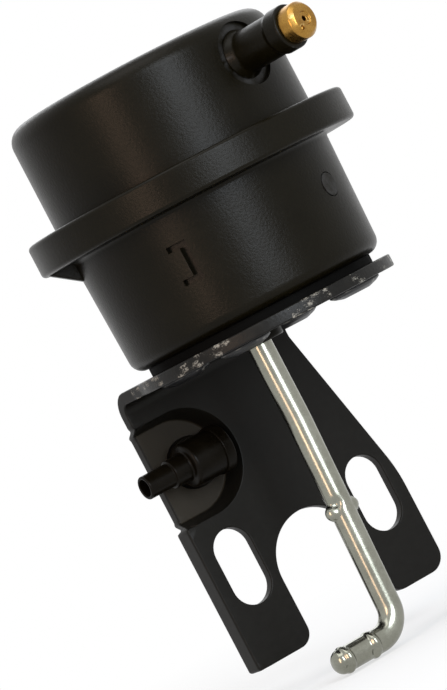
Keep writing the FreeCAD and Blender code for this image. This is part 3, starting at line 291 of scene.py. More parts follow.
# %% Build the cloud group
def build_cloud_group():
    """Cloudy colour and roughness with fine grain on top."""
    group, given, made = new_group("cloud_and_grain", [
        ("Dark", COLOUR, (0.01, 0.01, 0.01, 1)), ("Light", COLOUR, (0.03, 0.03, 0.03, 1)),
        ("Cloud Scale", FLOAT, 120), ("Grain Scale", FLOAT, 2500), ("Grain Share", FLOAT, 0.35),
        ("Rough Low", FLOAT, 0.35), ("Rough High", FLOAT, 0.5)],
        [("Color", COLOUR), ("Roughness", FLOAT), ("Height", FLOAT)])
    place = group.nodes.new("ShaderNodeTexCoord").outputs["Object"]
    cloud = add_node(group, "ShaderNodeTexNoise", Detail=5.0, Roughness=0.6)
    grain = add_node(group, "ShaderNodeTexNoise", Detail=3.0, Roughness=0.65)
    share = add_node(group, "ShaderNodeMix", data_type="FLOAT")
    paint = add_node(group, "ShaderNodeMix", data_type="RGBA")
    rough = add_node(group, "ShaderNodeMix", data_type="FLOAT")
    join(group,
         (place, cloud.inputs["Vector"]), (given["Cloud Scale"], cloud.inputs["Scale"]),
         (place, grain.inputs["Vector"]), (given["Grain Scale"], grain.inputs["Scale"]),
         (given["Grain Share"], share.inputs["Factor"]),
         (ramp_between(group, cloud.outputs["Fac"], 0.3, 0.7), share.inputs["A"]),
         (ramp_between(group, grain.outputs["Fac"], 0.3, 0.7), share.inputs["B"]),
         (share.outputs["Result"], paint.inputs["Factor"]),
         (given["Dark"], paint.inputs["A"]), (given["Light"], paint.inputs["B"]),
         (share.outputs["Result"], rough.inputs["Factor"]),
         (given["Rough Low"], rough.inputs["A"]), (given["Rough High"], rough.inputs["B"]),
         (paint.outputs["Result"], made["Color"]), (rough.outputs["Result"], made["Roughness"]),
         (grain.outputs["Fac"], made["Height"]))
    return group


cloud_group = build_cloud_group()
print("group:", cloud_group.name, "with", len(cloud_group.nodes), "nodes")

# %% [markdown]
# ## Specks and painted glints
# Dust sits on the mouldings in fine specks, and the disc's edge gets small ragged bright specks,
# which are painted glints. Both are cells of a Voronoi texture, cut off at a distance from
# their middles. Cells alone look like dots, so a noise makes their outlines ragged, and a
# second noise lets them gather in patches. Stretch makes them longer along a level edge, as the
# painted glints on the disc's edge are.

# %% Build the speck group
def build_speck_group():
    """Scattered marks: 1 on a mark, 0 elsewhere."""
    group, given, made = new_group("specks", [
        ("Scale", FLOAT, 900), ("Size", FLOAT, 0.12), ("Patch", FLOAT, 0.5),
        ("Stretch", FLOAT, 1.0), ("Blur", FLOAT, 0.03), ("Ragged", FLOAT, 0.7)],
        [("Mask", FLOAT)])
    place = group.nodes.new("ShaderNodeTexCoord").outputs["Object"]
    upright = add_node(group, "ShaderNodeCombineXYZ", X=1.0, Y=1.0)
    stretched = add_node(group, "ShaderNodeVectorMath", operation="MULTIPLY")
    cells = add_node(group, "ShaderNodeTexVoronoi", feature="F1")
    ragged = add_node(group, "ShaderNodeTexNoise", Scale=2600.0, Detail=2.0)
    patch = add_node(group, "ShaderNodeTexNoise", Scale=160.0, Detail=2.0)
    outline = add_node(group, "ShaderNodeMath", operation="MULTIPLY_ADD")
    within = add_node(group, "ShaderNodeMath", operation="SUBTRACT")
    near = add_node(group, "ShaderNodeMath", operation="DIVIDE", use_clamp=True)
    busy = add_node(group, "ShaderNodeMath", operation="GREATER_THAN")
    both = add_node(group, "ShaderNodeMath", operation="MULTIPLY")
    join(group,
         (given["Stretch"], upright.inputs["Z"]), (place, stretched.inputs[0]),
         (upright.outputs["Vector"], stretched.inputs[1]),
         (stretched.outputs["Vector"], cells.inputs["Vector"]),
         (given["Scale"], cells.inputs["Scale"]),
         (stretched.outputs["Vector"], ragged.inputs["Vector"]), (place, patch.inputs["Vector"]),
         (ragged.outputs["Fac"], outline.inputs[0]), (given["Ragged"], outline.inputs[1]),
         (cells.outputs["Distance"], outline.inputs[2]),
         (given["Size"], within.inputs[0]), (outline.outputs["Value"], within.inputs[1]),
         (within.outputs["Value"], near.inputs[0]), (given["Blur"], near.inputs[1]),
         (patch.outputs["Fac"], busy.inputs[0]), (given["Patch"], busy.inputs[1]),
         (near.outputs["Value"], both.inputs[0]), (busy.outputs["Value"], both.inputs[1]),
         (both.outputs["Value"], made["Mask"]))
    return group


speck_group = build_speck_group()
print("group:", speck_group.name, "with", len(speck_group.nodes), "nodes")

# %% [markdown]
# ## Worn edges with a painted highlight
# Hands and tools wear the outer edges of a part first, and the same edges catch the light.
# Pointiness tells how sharply the surface turns at each point, so it finds those edges without
# any painting by hand. On its own it draws an even line that looks printed, and a noise breaks
# the line up. The edges are painted paler: partly wear, partly painted highlight.

# %% Build the group for worn and highlit edges
def build_wear_and_highlight_group():
    """Paler outer edges, partly wear and partly painted highlight, from how sharply the surface turns.
    """
    group, given, made = new_group(
        "rubbed_edges", [("Start", FLOAT, 0.53), ("Full", FLOAT, 0.6)], [("Mask", FLOAT)])
    shape = group.nodes.new("ShaderNodeNewGeometry")
    place = group.nodes.new("ShaderNodeTexCoord")
    breaks = add_node(group, "ShaderNodeTexNoise", Scale=450.0, Detail=4.0)
    edge = add_node(group, "ShaderNodeMapRange")
    broken = add_node(group, "ShaderNodeMath", operation="MULTIPLY")
    join(group,
         (place.outputs["Object"], breaks.inputs["Vector"]),
         (shape.outputs["Pointiness"], edge.inputs["Value"]),
         (given["Start"], edge.inputs["From Min"]), (given["Full"], edge.inputs["From Max"]),
         (edge.outputs["Result"], broken.inputs[0]),
         (ramp_between(group, breaks.outputs["Fac"], 0.35, 0.6), broken.inputs[1]),
         (broken.outputs["Value"], made["Mask"]))
    return group


wear_and_highlight_group = build_wear_and_highlight_group()
print("group:", wear_and_highlight_group.name, "with", len(wear_and_highlight_group.nodes), "nodes")

# %% [markdown]
# ## One recipe for all finishes
# Every finish starts with the cloud group, and specks or paler edges are mixed on top. The
# specks are dust on the mouldings and painted glints on the disc's edge, and the paler edges
# are wear with a painted highlight. Each could be built by hand in the shader editor, but one
# recipe keeps them alike and easy to compare. What is the same all over a finish, such as its
# metallic share, is typed on the shader itself. A Bump node turns the grain into fine relief,
# far too small for the mesh.

# %% Write the recipe
def make_finish(name, dark, light, rough, cloud=120, grain=2500, share=0.35, bump=0.02,
                metallic=0.0, specular=0.35, specks=None, speck_colour=None,
                wear_and_highlight=None, wear_and_highlight_colour=None):
    """A material from the shared groups. Colours are linear, and bump is in millimetres."""
    material = bpy.data.materials.new(name)
    material.use_nodes = True
    tree = material.node_tree
    shader = tree.nodes["Principled BSDF"]
    shader.inputs["Metallic"].default_value = metallic
    shader.inputs["Specular IOR Level"].default_value = specular
    base = place_group(tree, cloud_group, {
        "Dark": (*dark, 1), "Light": (*light, 1), "Cloud Scale": cloud, "Grain Scale": grain,
        "Grain Share": share, "Rough Low": rough[0], "Rough High": rough[1]})
    colour = base["Color"]
    # The edge mask paints paler edges, wear with a painted highlight; the speck mask paints dust specks
    # and painted glints.
    for group, values, tint in ((speck_group, specks, speck_colour), (wear_and_highlight_group, wear_and_highlight, wear_and_highlight_colour)):
        if values is not None:
            mask = place_group(tree, group, values)
            mix = add_node(tree, "ShaderNodeMix", data_type="RGBA")
            mix.inputs["B"].default_value = (*tint, 1)
            join(tree, (mask["Mask"], mix.inputs["Factor"]), (colour, mix.inputs["A"]))
            colour = mix.outputs["Result"]
    relief = add_node(tree, "ShaderNodeBump", Strength=1.0, Distance=bump * MM)
    join(tree,
         (colour, shader.inputs["Base Color"]), (base["Roughness"], shader.inputs["Roughness"]),
         (base["Height"], relief.inputs["Height"]),
         (relief.outputs["Normal"], shader.inputs["Normal"]))
    return material


def place_group(tree, group, values):
    """Put a group into a material with its own values, and give back its outputs."""
    node = tree.nodes.new("ShaderNodeGroup")
    node.node_tree = group
    for title, value in values.items():
        node.inputs[title].default_value = value
    return node.outputs


print("the recipe uses", cloud_group.name, speck_group.name, wear_and_highlight_group.name)

# %% [markdown]
# ## The black finishes
# Black plastic and black paint differ mostly in their gloss. The plastic has the sharper
# gloss, the stronger and finer grain, and the warmer, deeper black. The paint is duller and
# flatter. On the floor of the dish it is paler, and the disc's edge carries bright specks,
# which are painted glints. Pure black would hide every shape, so all of them keep a little colour.

# %% Make the black finishes
finishes = {
    "moulding": make_finish(
        "black_moulding", (0.0026, 0.0019, 0.0004), (0.0046, 0.0036, 0.0013), (0.27, 0.37),
        cloud=90, grain=1900, bump=0.045, specular=0.1,
        specks={"Scale": 520, "Size": 0.32, "Patch": 0.57}, speck_colour=(0.02, 0.019, 0.017),
        # Paler outer edges: a little wear and a painted highlight.
        wear_and_highlight={"Start": 0.56, "Full": 0.7}, wear_and_highlight_colour=(0.02, 0.019, 0.018)),
    "port": make_finish(
        "port_moulding", (0.0018, 0.0012, 0.0004), (0.0042, 0.0031, 0.0016), (0.24, 0.38),
        cloud=200, grain=1800, bump=0.018, specular=0.075),
    "rubber": make_finish(
        "black_rubber", (0.0012, 0.0012, 0.001), (0.0026, 0.0025, 0.0022), (0.6, 0.8),
        cloud=300, grain=2600, bump=0.02, specular=0.04),
    "lacquer": make_finish(
        "black_lacquer", (0.0038, 0.0034, 0.0026), (0.006, 0.0055, 0.0042), (0.36, 0.48),
        cloud=70, grain=1100, share=0.5, bump=0.014, specular=0.12),
    # A paler lacquer for the floor of the dish.
    "lighter": make_finish(
        "dusty_lacquer", (0.0165, 0.0138, 0.0096), (0.0235, 0.02, 0.014), (0.5, 0.62),
        cloud=110, grain=1100, share=0.4, bump=0.014, specular=0.14),
    # Bright specks on the disc's edge: painted glints.
    "painted_glints": make_finish(
        "chipped_lacquer", (0.003, 0.0028, 0.0024), (0.008, 0.0075, 0.0062), (0.3, 0.45),
        cloud=500, grain=1500, bump=0.05, specular=0.16, speck_colour=(0.22, 0.205, 0.175),
        specks={"Scale": 420, "Size": 1.16, "Patch": 0.5, "Stretch": 2.2, "Blur": 0.4,
                "Ragged": 1.5}),
    "screw": make_finish(
        "blackened_steel", (0.006, 0.006, 0.0062), (0.014, 0.014, 0.0145), (0.3, 0.46),
        cloud=300, grain=2200, bump=0.012, specular=0.25,
        wear_and_highlight={"Start": 0.53, "Full": 0.6}, wear_and_highlight_colour=(0.12, 0.115, 0.1)),
}
print("black finishes:", sorted(finishes))

# %% [markdown]
# ## The bright finishes and the rest
# A metal shows its surroundings more than its own colour, so its roughness matters most. The
# plated rod is smooth and slightly green-grey, the brass is cloudier and paler on its edges,
# which are worn and carry a painted highlight, and the spring's wire is duller. The bush,
# which is pale acetal, and the felt wiper are hidden inside, but someone may take the model apart.

# %% Make the bright finishes and the rest
finishes.update({
    "rod": make_finish(
        "bright_plating", (0.207, 0.207, 0.17), (0.315, 0.318, 0.27), (0.17, 0.27),
        cloud=260, grain=3200, bump=0.004, metallic=1.0, specular=0.5),
    "brass": make_finish(
        "turned_brass", (0.24, 0.12, 0.025), (0.46, 0.26, 0.06), (0.2, 0.34),
        cloud=420, grain=3000, bump=0.008, metallic=1.0, specular=0.5,
        wear_and_highlight={"Start": 0.52, "Full": 0.58}, wear_and_highlight_colour=(0.7, 0.5, 0.2)),
    "zinc": make_finish(
        "zinc_plating", (0.42, 0.42, 0.4), (0.66, 0.66, 0.63), (0.26, 0.42),
        cloud=260, grain=2400, bump=0.01, metallic=1.0, specular=0.5),
    "wire": make_finish(
        "spring_wire", (0.24, 0.24, 0.24), (0.42, 0.42, 0.41), (0.25, 0.4),
        cloud=500, grain=3000, bump=0.01, metallic=1.0, specular=0.5),
    "acetal": make_finish(
        "natural_acetal", (0.6, 0.58, 0.52), (0.74, 0.72, 0.66), (0.35, 0.5),
        cloud=200, grain=2000, bump=0.01),
    "felt": make_finish(
        "oiled_felt", (0.16, 0.15, 0.13), (0.34, 0.32, 0.28), (0.85, 0.98),
        cloud=900, grain=4500, share=0.6, bump=0.12, specular=0.15),
})
print("all finishes:", sorted(finishes))

# %% [markdown]
# ## Finishes on the solids that stay
# The inner plates and the small rings have the right shape as solids, so they only get a
# finish. They could be copied and painted, but a solid is never moved or changed here. The
# finish is simply put in its material slots.

# %% Dress the solids that stay
SOLID_FINISH = {
    "bracket": "lacquer", "lower_shell": "moulding", "upper_shell": "moulding",
    "restrictor_jet": "brass", "base_gasket": "rubber", "canister_screws": "screw",
    "rod_bush": "acetal", "felt_wiper": "felt", "wiper_keeper": "zinc",
    "stop_bumper": "rubber", "diaphragm": "rubber", "piston": "moulding",
    "backing_plate": "zinc", "rivet_washer": "zinc", "spring_seat": "zinc",
    "return_spring": "wire", "rod": "rod", "port_elbow": "port", "port_gasket": "rubber",
    "port_clip": "wire"}
for node, finish in SOLID_FINISH.items():
    slots = nodes[node].material_slots
    for slot in slots:
        slot.material = finishes[finish]
    if not slots:
        nodes[node].data.materials.append(finishes[finish])
print("dressed:", len(SOLID_FINISH), "solids; faces each:",
      {name: len(thing.data.polygons) for name, thing in nodes.items()})

# %% [markdown]
# ## Places and sizes for the new pieces
# The new pieces have to stand exactly where the solids stand. Their places could be typed in
# again, but the boxes of the solids already say where the canister's axis, the disc and the
# rims are, so they are read from there. The rest are real sizes in millimetres.

# %% Read the main places from the frame
def low_high(node):
    """Lowest and highest corner of a solid, in millimetres."""
    return [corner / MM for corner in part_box(node)]


gasket_low, gasket_high = low_high("base_gasket")
AXIS_X, AXIS_Y = (gasket_low.x + gasket_high.x) / 2, (gasket_low.y + gasket_high.y) / 2
SEAT, GASKET_T = gasket_low.z, gasket_high.z - gasket_low.z
CAN = Matrix.Translation(Vector((AXIS_X, AXIS_Y, SEAT)) * MM)
ROD_AT = Vector((-2.4, 1.2))
ROD_AXIS = CAN @ Matrix.Translation(Vector((ROD_AT.x, ROD_AT.y, 0)) * MM)
print("canister axis:", round(AXIS_X, 2), round(AXIS_Y, 2), "seat:", round(SEAT, 2), "mm")

# %% [markdown]
# ## Bars and prisms
# Round holes, slots and marks are cut with simple tools: a round bar, or an outline drawn
# along an axis. Blender's own primitives could serve, but they come unscaled and centred.
# These are made at their real size and from one height to another, as a drill or punch works.

# %% Make the cutting shapes
def bar(radius, low, high, segments=64):
    """A closed round bar along Z, in millimetres."""
    return spin_outline([(0, low), (radius, low), (radius, high), (0, high)], segments)


def prism(outline, low, high, place=Matrix(), edge=0.0):
    """An outline of (across, up) in millimetres, drawn along X from low to high."""
    mesh = bmesh.new()
    ends = [[mesh.verts.new(Vector((along, across, up)) * MM) for across, up in outline]
            for along in (low, high)]
    mesh.faces.new(ends[0])
    mesh.faces.new(reversed(ends[1]))
    for at in range(len(outline)):
        ahead = (at + 1) % len(outline)
        mesh.faces.new((ends[0][at], ends[1][at], ends[1][ahead], ends[0][ahead]))
    bmesh.ops.recalc_face_normals(mesh, faces=mesh.faces)
    if edge:
        bmesh.ops.bevel(mesh, geom=mesh.edges[:], offset=edge * MM, segments=3,
                        affect="EDGES", profile=0.5)
    mesh.transform(place)
    return mesh


def turned(degrees, axis="Z"):
    """A turn about one axis, in degrees."""
    return Matrix.Rotation(math.radians(degrees), 4, axis)


bar_test = bar(2, 0, 5)
print("a test bar has", len(bar_test.faces), "faces")
bar_test.free()

# %% [markdown]
# ## Handing a piece over
# Each new piece gets its finish, rides on a body and takes the place of the solids that it
# stands for, which are hidden. The calls could be written out for every piece. One small
# function makes them, so that none is forgotten.

# %% Hand a piece over to the frame
def finish_piece(thing, finish, body, slot, *stands_for):
    """Give a piece its finish and its body, and hide the solids that it stands for. The slot is not
    used.
    """
    if not thing.data.materials:
        thing.data.materials.append(finishes[finish])
    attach(thing, body)
    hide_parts(*stands_for)
    print(thing.name, len(thing.data.polygons), "faces")


print("helper made:", finish_piece.__name__)

# %% [markdown]
# ## The lower shell
# This is an injection-moulded cup. Its wall leans outward so that it leaves the mould, and
# the heavy rim at its top takes the cap and the diaphragm. It could be built from cylinders,
# but each joint would need its own fillet. Spinning one outline gives the rounded foot and
# the fillet under the rim at once. The spigot for the rod stands off the axis and is joined.

# %% Spin the lower shell
shell_high = low_high("lower_shell")[1]
RIM_R, RIM_TOP, RIM_WALL, RIM_H, LEDGE_DROP = 32.0, shell_high.z - SEAT, 1.8, 6.3, 3.8
RIM_LOW, LEDGE = RIM_TOP - RIM_H, RIM_TOP - LEDGE_DROP
CUP_R, CUP_FOOT_R, WALL, FLOOR_T = 25.9, 25.2, 2.0, 2.5
BEAD_R, GROOVE_HALF, GROOVE_DEEP = 28.3, 0.7, 1.0
PASSAGE_R = 4.4


def spin_lower_shell():
    """The cup with its rim and its bead groove, and the spigot for the rod's guide."""
    floor, groove = GASKET_T + FLOOR_T, LEDGE - GROOVE_DEEP
    wall = [(CUP_FOOT_R + (CUP_R - CUP_FOOT_R) * part, GASKET_T + (RIM_LOW - GASKET_T) * part, 0)
            for part in (0.25, 0.4, 0.55, 0.7, 0.85)]
    corners = [(0, GASKET_T, 0), (CUP_FOOT_R, GASKET_T, 2.6), *wall, (CUP_R, RIM_LOW, 0.9),
               (RIM_R, RIM_LOW, 0.8), (RIM_R, RIM_TOP, 0.8), (RIM_R - RIM_WALL, RIM_TOP, 0.35),
               (RIM_R - RIM_WALL, LEDGE, 0), (BEAD_R + GROOVE_HALF, LEDGE, 0),
               (BEAD_R + GROOVE_HALF, groove, 0), (BEAD_R - GROOVE_HALF, groove, 0),
               (BEAD_R - GROOVE_HALF, LEDGE, 0), (CUP_R - WALL, LEDGE, 0.2),
               (CUP_R - WALL, RIM_LOW, 0), (CUP_FOOT_R - WALL, floor, 1.0), (0, floor, 0)]
    shell = as_object("lower_shell_moulding", spin_outline(round_corners(corners), 192), CAN)
    carve(shell, as_object("passage", bar(PASSAGE_R, -1, floor + 1), ROD_AXIS))
    spigot = round_corners([(3.9, -3.8, 0.2), (5.0, -3.8, 0.4), (5.0, 7.0, 0.4),
                            (2.73, 7.0, 0.1), (2.73, 6.0, 0), (3.9, 6.0, 0)])
    carve(shell, as_object("spigot", spin_outline(spigot, 96), ROD_AXIS), "UNION")
    return shell


lower_shell = spin_lower_shell()
print("cup:", round(RIM_TOP, 1), "mm high and", 2 * RIM_R, "mm wide at the rim")

# %% [markdown]
# ## The marks on the lower shell
# The mould leaves three marks: a lug under the rim, a latch mark like a square bracket and
# the round mark of the gate, where the plastic ran in. A bump texture could hint at them, but
# the latch mark is deep enough to cast a shadow, so all three are cut or joined as solids.

# %% Cut the marks
LUG_TURN, LATCH_TURN, LATCH_UP, GATE_TURN, GATE_UP = 158, 223.5, 15.3, 299, 16


def mark_lower_shell(shell):
    """The lug, the latch mark and the round mark of the gate."""
    lug = prism([(CUP_R - 1, RIM_LOW + 1.2), (RIM_R - 1, RIM_LOW + 1.2), (RIM_R - 1, RIM_LOW),
                 (CUP_R - 1, RIM_LOW - 4.4)], -1.2, 1.2, turned(-90), edge=0.3)
    carve(shell, as_object("lug", lug, CAN @ turned(LUG_TURN)), "UNION")
    wide, tall, line, deep = 1.95, 3.8, 1.15, 1.8
    latch = [(-wide, -tall), (wide, -tall), (wide, tall), (-wide, tall), (-wide, tall - line),
             (wide - 1.4 * line, tall - line), (wide - 1.4 * line, line - tall),
             (-wide, line - tall)]
    at_latch = CAN @ turned(LATCH_TURN) @ Matrix.Translation((0, 0, LATCH_UP * MM))
    carve(shell, as_object("latch", prism(latch, CUP_R - deep, CUP_R + deep), at_latch))
    at_gate = (CAN @ turned(GATE_TURN) @ Matrix.Translation((0, 0, GATE_UP * MM))
               @ turned(90, "Y"))
    carve(shell, as_object("gate", bar(2.4, CUP_R - 0.6, CUP_R + 1), at_gate))
    carve(shell, as_object("gate_stub", bar(2.2, CUP_R - 3, CUP_R - 0.22), at_gate), "UNION")
    return even_light(shell, 35)


finish_piece(mark_lower_shell(lower_shell), "moulding", "housing", "black_plastic",
             "lower_shell")

# %% [markdown]
# ## The cap and its nipple
# The cap is a second moulding. Its shoulder is well rounded and its roof is slightly
# crowned. The nipple rises from a round well, so that a hose clears the wall. It could be
# pulled out of the wall's faces, but then the faces round its root would crumple. Spinning it
# about its own axis and joining it is the way the mould is cut, too.

# %% Make the cap
cap_low, cap_high = low_high("upper_shell")
NIPPLE_Z, NIPPLE_TURN = 43.6, -71.0
ALONG_NIPPLE = (CAN @ turned(NIPPLE_TURN) @ Matrix.Translation((0, 0, NIPPLE_Z * MM))
                @ turned(90, "Y"))
CAP_R, FLANGE_R, FLANGE_T, CROWN, ROOF_T = 26.0, 30.15, 2.2, 0.9, 3.3


def make_cap():
    """The crowned cap with the nipple in its well."""
    low, top = cap_low.z - SEAT, cap_high.z - SEAT
    roof = [(share * CAP_R, top - CROWN * share ** 2, 0) for share in (0.7, 0.5, 0.3, 0.15, 0)]
    corners = [(0, top - ROOF_T, 0), (CAP_R - WALL, top - ROOF_T, 2), (CAP_R - WALL, low, 0),
               (FLANGE_R, low, 0), (FLANGE_R, low + FLANGE_T, 0.3), (CAP_R, low + FLANGE_T, 0.5),
               (CAP_R, top - CROWN, 3.5)] + roof
    cap = as_object("cap_moulding", spin_outline(round_corners(corners, 8), 192), CAN)
    carve(cap, as_object("well", bar(6.2, 24.9, 40, 96), ALONG_NIPPLE))
    carve(cap, as_object("bore", bar(3.2, 20, 26), ALONG_NIPPLE))
    nipple = round_corners([(2.2, 22.2, 0.2), (4.7, 22.2, 0), (4.7, 25.2, 0.3), (3.9, 26.6, 1.4),
                            (3.9, 34.4, 0.8), (4.2, 35.2, 0.5), (4.2, 38.2, 0.45),
                            (2.2, 38.2, 0.1)])
    carve(cap, as_object("nipple", spin_outline(nipple, 96), ALONG_NIPPLE), "UNION")
    return even_light(cap, 35)


finish_piece(make_cap(), "moulding", "housing", "black_plastic", "upper_shell")

# %% [markdown]
# ## The brass restrictor
# A small turned jet sits in the nipple's end and throttles the vacuum. Its face has a fine
# hole and a drill pit beside it. The pit could be painted on, but brass shows every hollow in
# its reflections, so a small ball is cut out of the face.

# %% Make the brass restrictor
PIT_R, PIT_AT = 0.45, Vector((1.4, -1.9, 41.75))


def make_jet():
    """The brass plug with its fine hole and its drill pit."""
    corners = [(0.5, 33.2, 0.1), (2.15, 33.2, 0.2), (2.15, 38.2, 0), (3.5, 38.2, 0.15),
               (3.5, 40.9, 0.8), (2.7, 41.8, 0.5), (1.35, 41.8, 0.15), (1.2, 41.5, 0.1),
               (0.5, 41.5, 0.15)]
    jet = as_object("brass_jet", spin_outline(round_corners(corners), 96), ALONG_NIPPLE)
    pit = bmesh.new()
    bmesh.ops.create_uvsphere(pit, u_segments=24, v_segments=12, radius=PIT_R * MM)
    carve(jet, as_object("pit", pit, ALONG_NIPPLE @ Matrix.Translation(PIT_AT * MM)))
    return even_light(jet, 35)


finish_piece(make_jet(), "brass", "housing", "brass", "restrictor_jet")

# %% [markdown]
# ## The bracket's blank
# The bracket is one blank of 2.3 mm steel: a disc, a web and a slotted plate. It is cut flat,
# the dish and the side lip are pressed, and then the disc is folded over. The mesh is made in
# the same order. Cutting the finished shape out of blocks could be quicker, but it leaves
# razor edges all round. First come the sizes. The bent length is measured along the middle of
# the sheet, as a press shop does.

# %% Size the blank
SHEET_T, FOLD_IN, EDGE = 2.3, 2.0, 0.3
DISC_R, HALF_W, NECK_W, FOOT_Z = 25.8, 22.9, 15.4, low_high("bracket")[0].z
NOTCH_R, NOTCH_Z, SLOT_R, SLOT_HALF, SLOT_X = 9.7, -5.8, 4.1, 3.5, 15.9
NEUTRAL = FOLD_IN + SHEET_T / 2
FOLD_LONG = NEUTRAL * math.pi / 2
FOLD_Y, FOLD_Z = -SHEET_T - FOLD_IN, SEAT - SHEET_T - FOLD_IN
DISC_ALONG = AXIS_Y - FOLD_Y


def along_of(up):
    """Distance along the blank, from the start of the fold, of a height on the plate."""
    return FOLD_LONG + FOLD_Z - up


print("blank length:", round(along_of(FOOT_Z) + DISC_R - DISC_ALONG, 1), "mm")

# %% [markdown]
# ## The outer outline
# The outline runs round the disc, down the left side past the open dish, along the foot
# with its notch, and up the right side. Curves could be drawn by hand in the viewport. Here
# they are corners with radii again, and long stretches are split into short ones, because a
# straight line that crosses the fold needs points to bend at.

# %% Draw the outer outline
DISH_X, DISH_Z, DISH_R, DISH_DEPTH, DISH_REACH, DISH_WALL = 15.4, 21.15, 9.9, 5.0, 20.9, 1.6
SHOULDER, FLOOR_IN = 0.7, 1.0


def arc(across, along, radius, start, stop, steps):
    """Points on a circle, from one angle to another."""
    turns = [math.radians(start + (stop - start) * at / steps) for at in range(steps + 1)]
    return [(across + radius * math.cos(turn), along + radius * math.sin(turn))
            for turn in turns]


def fine_enough(points, step=0.4):
    """The same closed outline with no stretch longer than a step."""
    dense = []
    for here, ahead in zip(points, points[1:] + points[:1]):
        parts = max(1, math.ceil((ahead - here).length / step))
        dense += [here.lerp(ahead, at / parts) for at in range(parts)]
    return dense


def outer_outline():
    """The outline of the flat blank: disc, dish side, foot, notch and right side."""
    right = math.degrees(math.acos(NECK_W / DISC_R))
    left = math.degrees(math.acos(-HALF_W / DISC_R)) - 360
    step_top = along_of(DISH_Z + DISH_R + SHOULDER)
    step_low = along_of(DISH_Z - DISH_R - SHOULDER)
    floor_top = along_of(DISH_Z + DISH_R - FLOOR_IN)
    floor_low = along_of(DISH_Z - DISH_R + FLOOR_IN)
    foot, notch = along_of(FOOT_Z), along_of(NOTCH_Z)
    corners = [(*spot, 0) for spot in arc(0, DISC_ALONG, DISC_R, right, left, 180)]
    corners += [(-HALF_W, step_top, 1.2), (-DISH_REACH, floor_top, 1.2),
                (-DISH_REACH, floor_low, 1.2), (-HALF_W, step_low, 1.2), (-HALF_W, foot, 0.7),
                (-NOTCH_R, foot, 3.0)]
    corners += [(*spot, 0) for spot in arc(0, notch, NOTCH_R, 180, 360, 60)]
    corners += [(NOTCH_R, foot, 3.0), (HALF_W, foot, 3.6), (HALF_W, along_of(1.6), 30),
                (NECK_W, along_of(33.4), 2.0)]
    return fine_enough(round_corners(corners, 10))


print("outer outline:", len(outer_outline()), "points")

# %% [markdown]
# ## The holes and the soft edge
# The blank has two slots for bolts and round holes for the rod, the port's stem and the four
# screws. They could be cut with Booleans, but the folded and pressed sheet would then get
# long thin faces round them. As outlines of the same drawing they bend with the sheet. Each
# outline is also moved a little into the sheet, step by step, which rounds its edge.

# %% Draw the holes
PORT_X, SCREW_CIRCLE, SCREW_HOLE_R, SPIGOT_HOLE_R, STEM_HOLE_R = -12.9, 18.0, 2.1, 5.3, 3.2


def hole_outlines():
    """The round holes and the two slots, on the flat blank."""
    off = SCREW_CIRCLE * math.sqrt(0.5)
    round_holes = [(ROD_AT.x, DISC_ALONG + ROD_AT.y, SPIGOT_HOLE_R),
                   (PORT_X, along_of(DISH_Z), STEM_HOLE_R)]
    round_holes += [(x * off, DISC_ALONG + y * off, SCREW_HOLE_R)
                    for x in (-1, 1) for y in (-1, 1)]
    holes = [arc(*hole, 0, 360, 40)[:-1] for hole in round_holes]
    low, high = along_of(-SLOT_HALF), along_of(SLOT_HALF)
    for across in (-SLOT_X, SLOT_X):
        holes.append(arc(across, low, SLOT_R, 0, 180, 24) + arc(across, high, SLOT_R, 180, 360, 24))
    return [fine_enough([Vector(spot) for spot in hole], 0.6) for hole in holes]


def inset(points, by, hole=False):
    """The outline moved into the sheet."""
    area = sum(here.cross(ahead) for here, ahead in zip(points, points[1:] + points[:1]))
    side = (1 if area > 0 else -1) * (-1 if hole else 1)
    moved = []
    for at, here in enumerate(points):
        way = (points[(at + 1) % len(points)] - points[at - 1]).normalized()
        moved.append(here + Vector((-way.y, way.x)) * side * by)
    return moved


print("holes:", len(hole_outlines()))

# %% [markdown]
# ## Pressing
# A punch pushes the dish 5 mm to the rear and folds a low lip along the left edge. Sculpting
# could do it, but this is a rule: how deep a point goes depends only on where it lies. The
# sheet has thickness, so the rear wall of the dish stands further out than the front one.
# At the open left edge the two walls run together.

# %% Press the dish and the lip
LIP_X, LIP_TOP, LIP_SLOPE, LIP_DEPTH, LIP_TURN = 20.45, 11.2, 0.7, 2.3, 0.5
RUN_OUT_FROM, RUN_OUT = 0.4, 1.5


def smooth_step(share):
    """From 0 to 1 with a soft start and a soft end."""
    share = min(1.0, max(0.0, share))
    return share * share * (3 - 2 * share)


def wall_at(across, rear):
    """How much further out the dish's rear wall turns. It runs out at the open left edge."""
    if not rear:
        return 0.0
    return DISH_WALL * smooth_step((across + DISH_REACH - RUN_OUT_FROM) / RUN_OUT)


def pressed(across, up, rear):
    """How far the press has pushed one face of the plate to the rear."""
    if across > -DISH_X:
        beyond = math.hypot(across + DISH_X, up - DISH_Z)
    else:
        beyond = abs(up - DISH_Z)
    fall = (SHOULDER - beyond + DISH_R + wall_at(across, rear)) / (SHOULDER + FLOOR_IN)
    depth = DISH_DEPTH * smooth_step(fall)
    if rear:
        lip = smooth_step((-LIP_X - across) / LIP_TURN)
        depth = max(depth, lip * min(1.0, max(0.0, (LIP_TOP - up) / LIP_SLOPE)) * LIP_DEPTH)
    return depth


print("depth in the middle of the dish:", pressed(-DISH_X, DISH_Z, False), "mm")

# %% [markdown]
# ## Folding
# Each point of the flat blank is carried to its place on the folded part. Points on the disc
# stay level, points in the fold go round a quarter circle, and points below hang straight
# down and take the press's depth. A bend modifier could do this too, but it can't keep the
# sheet's thickness while the dish is pressed.

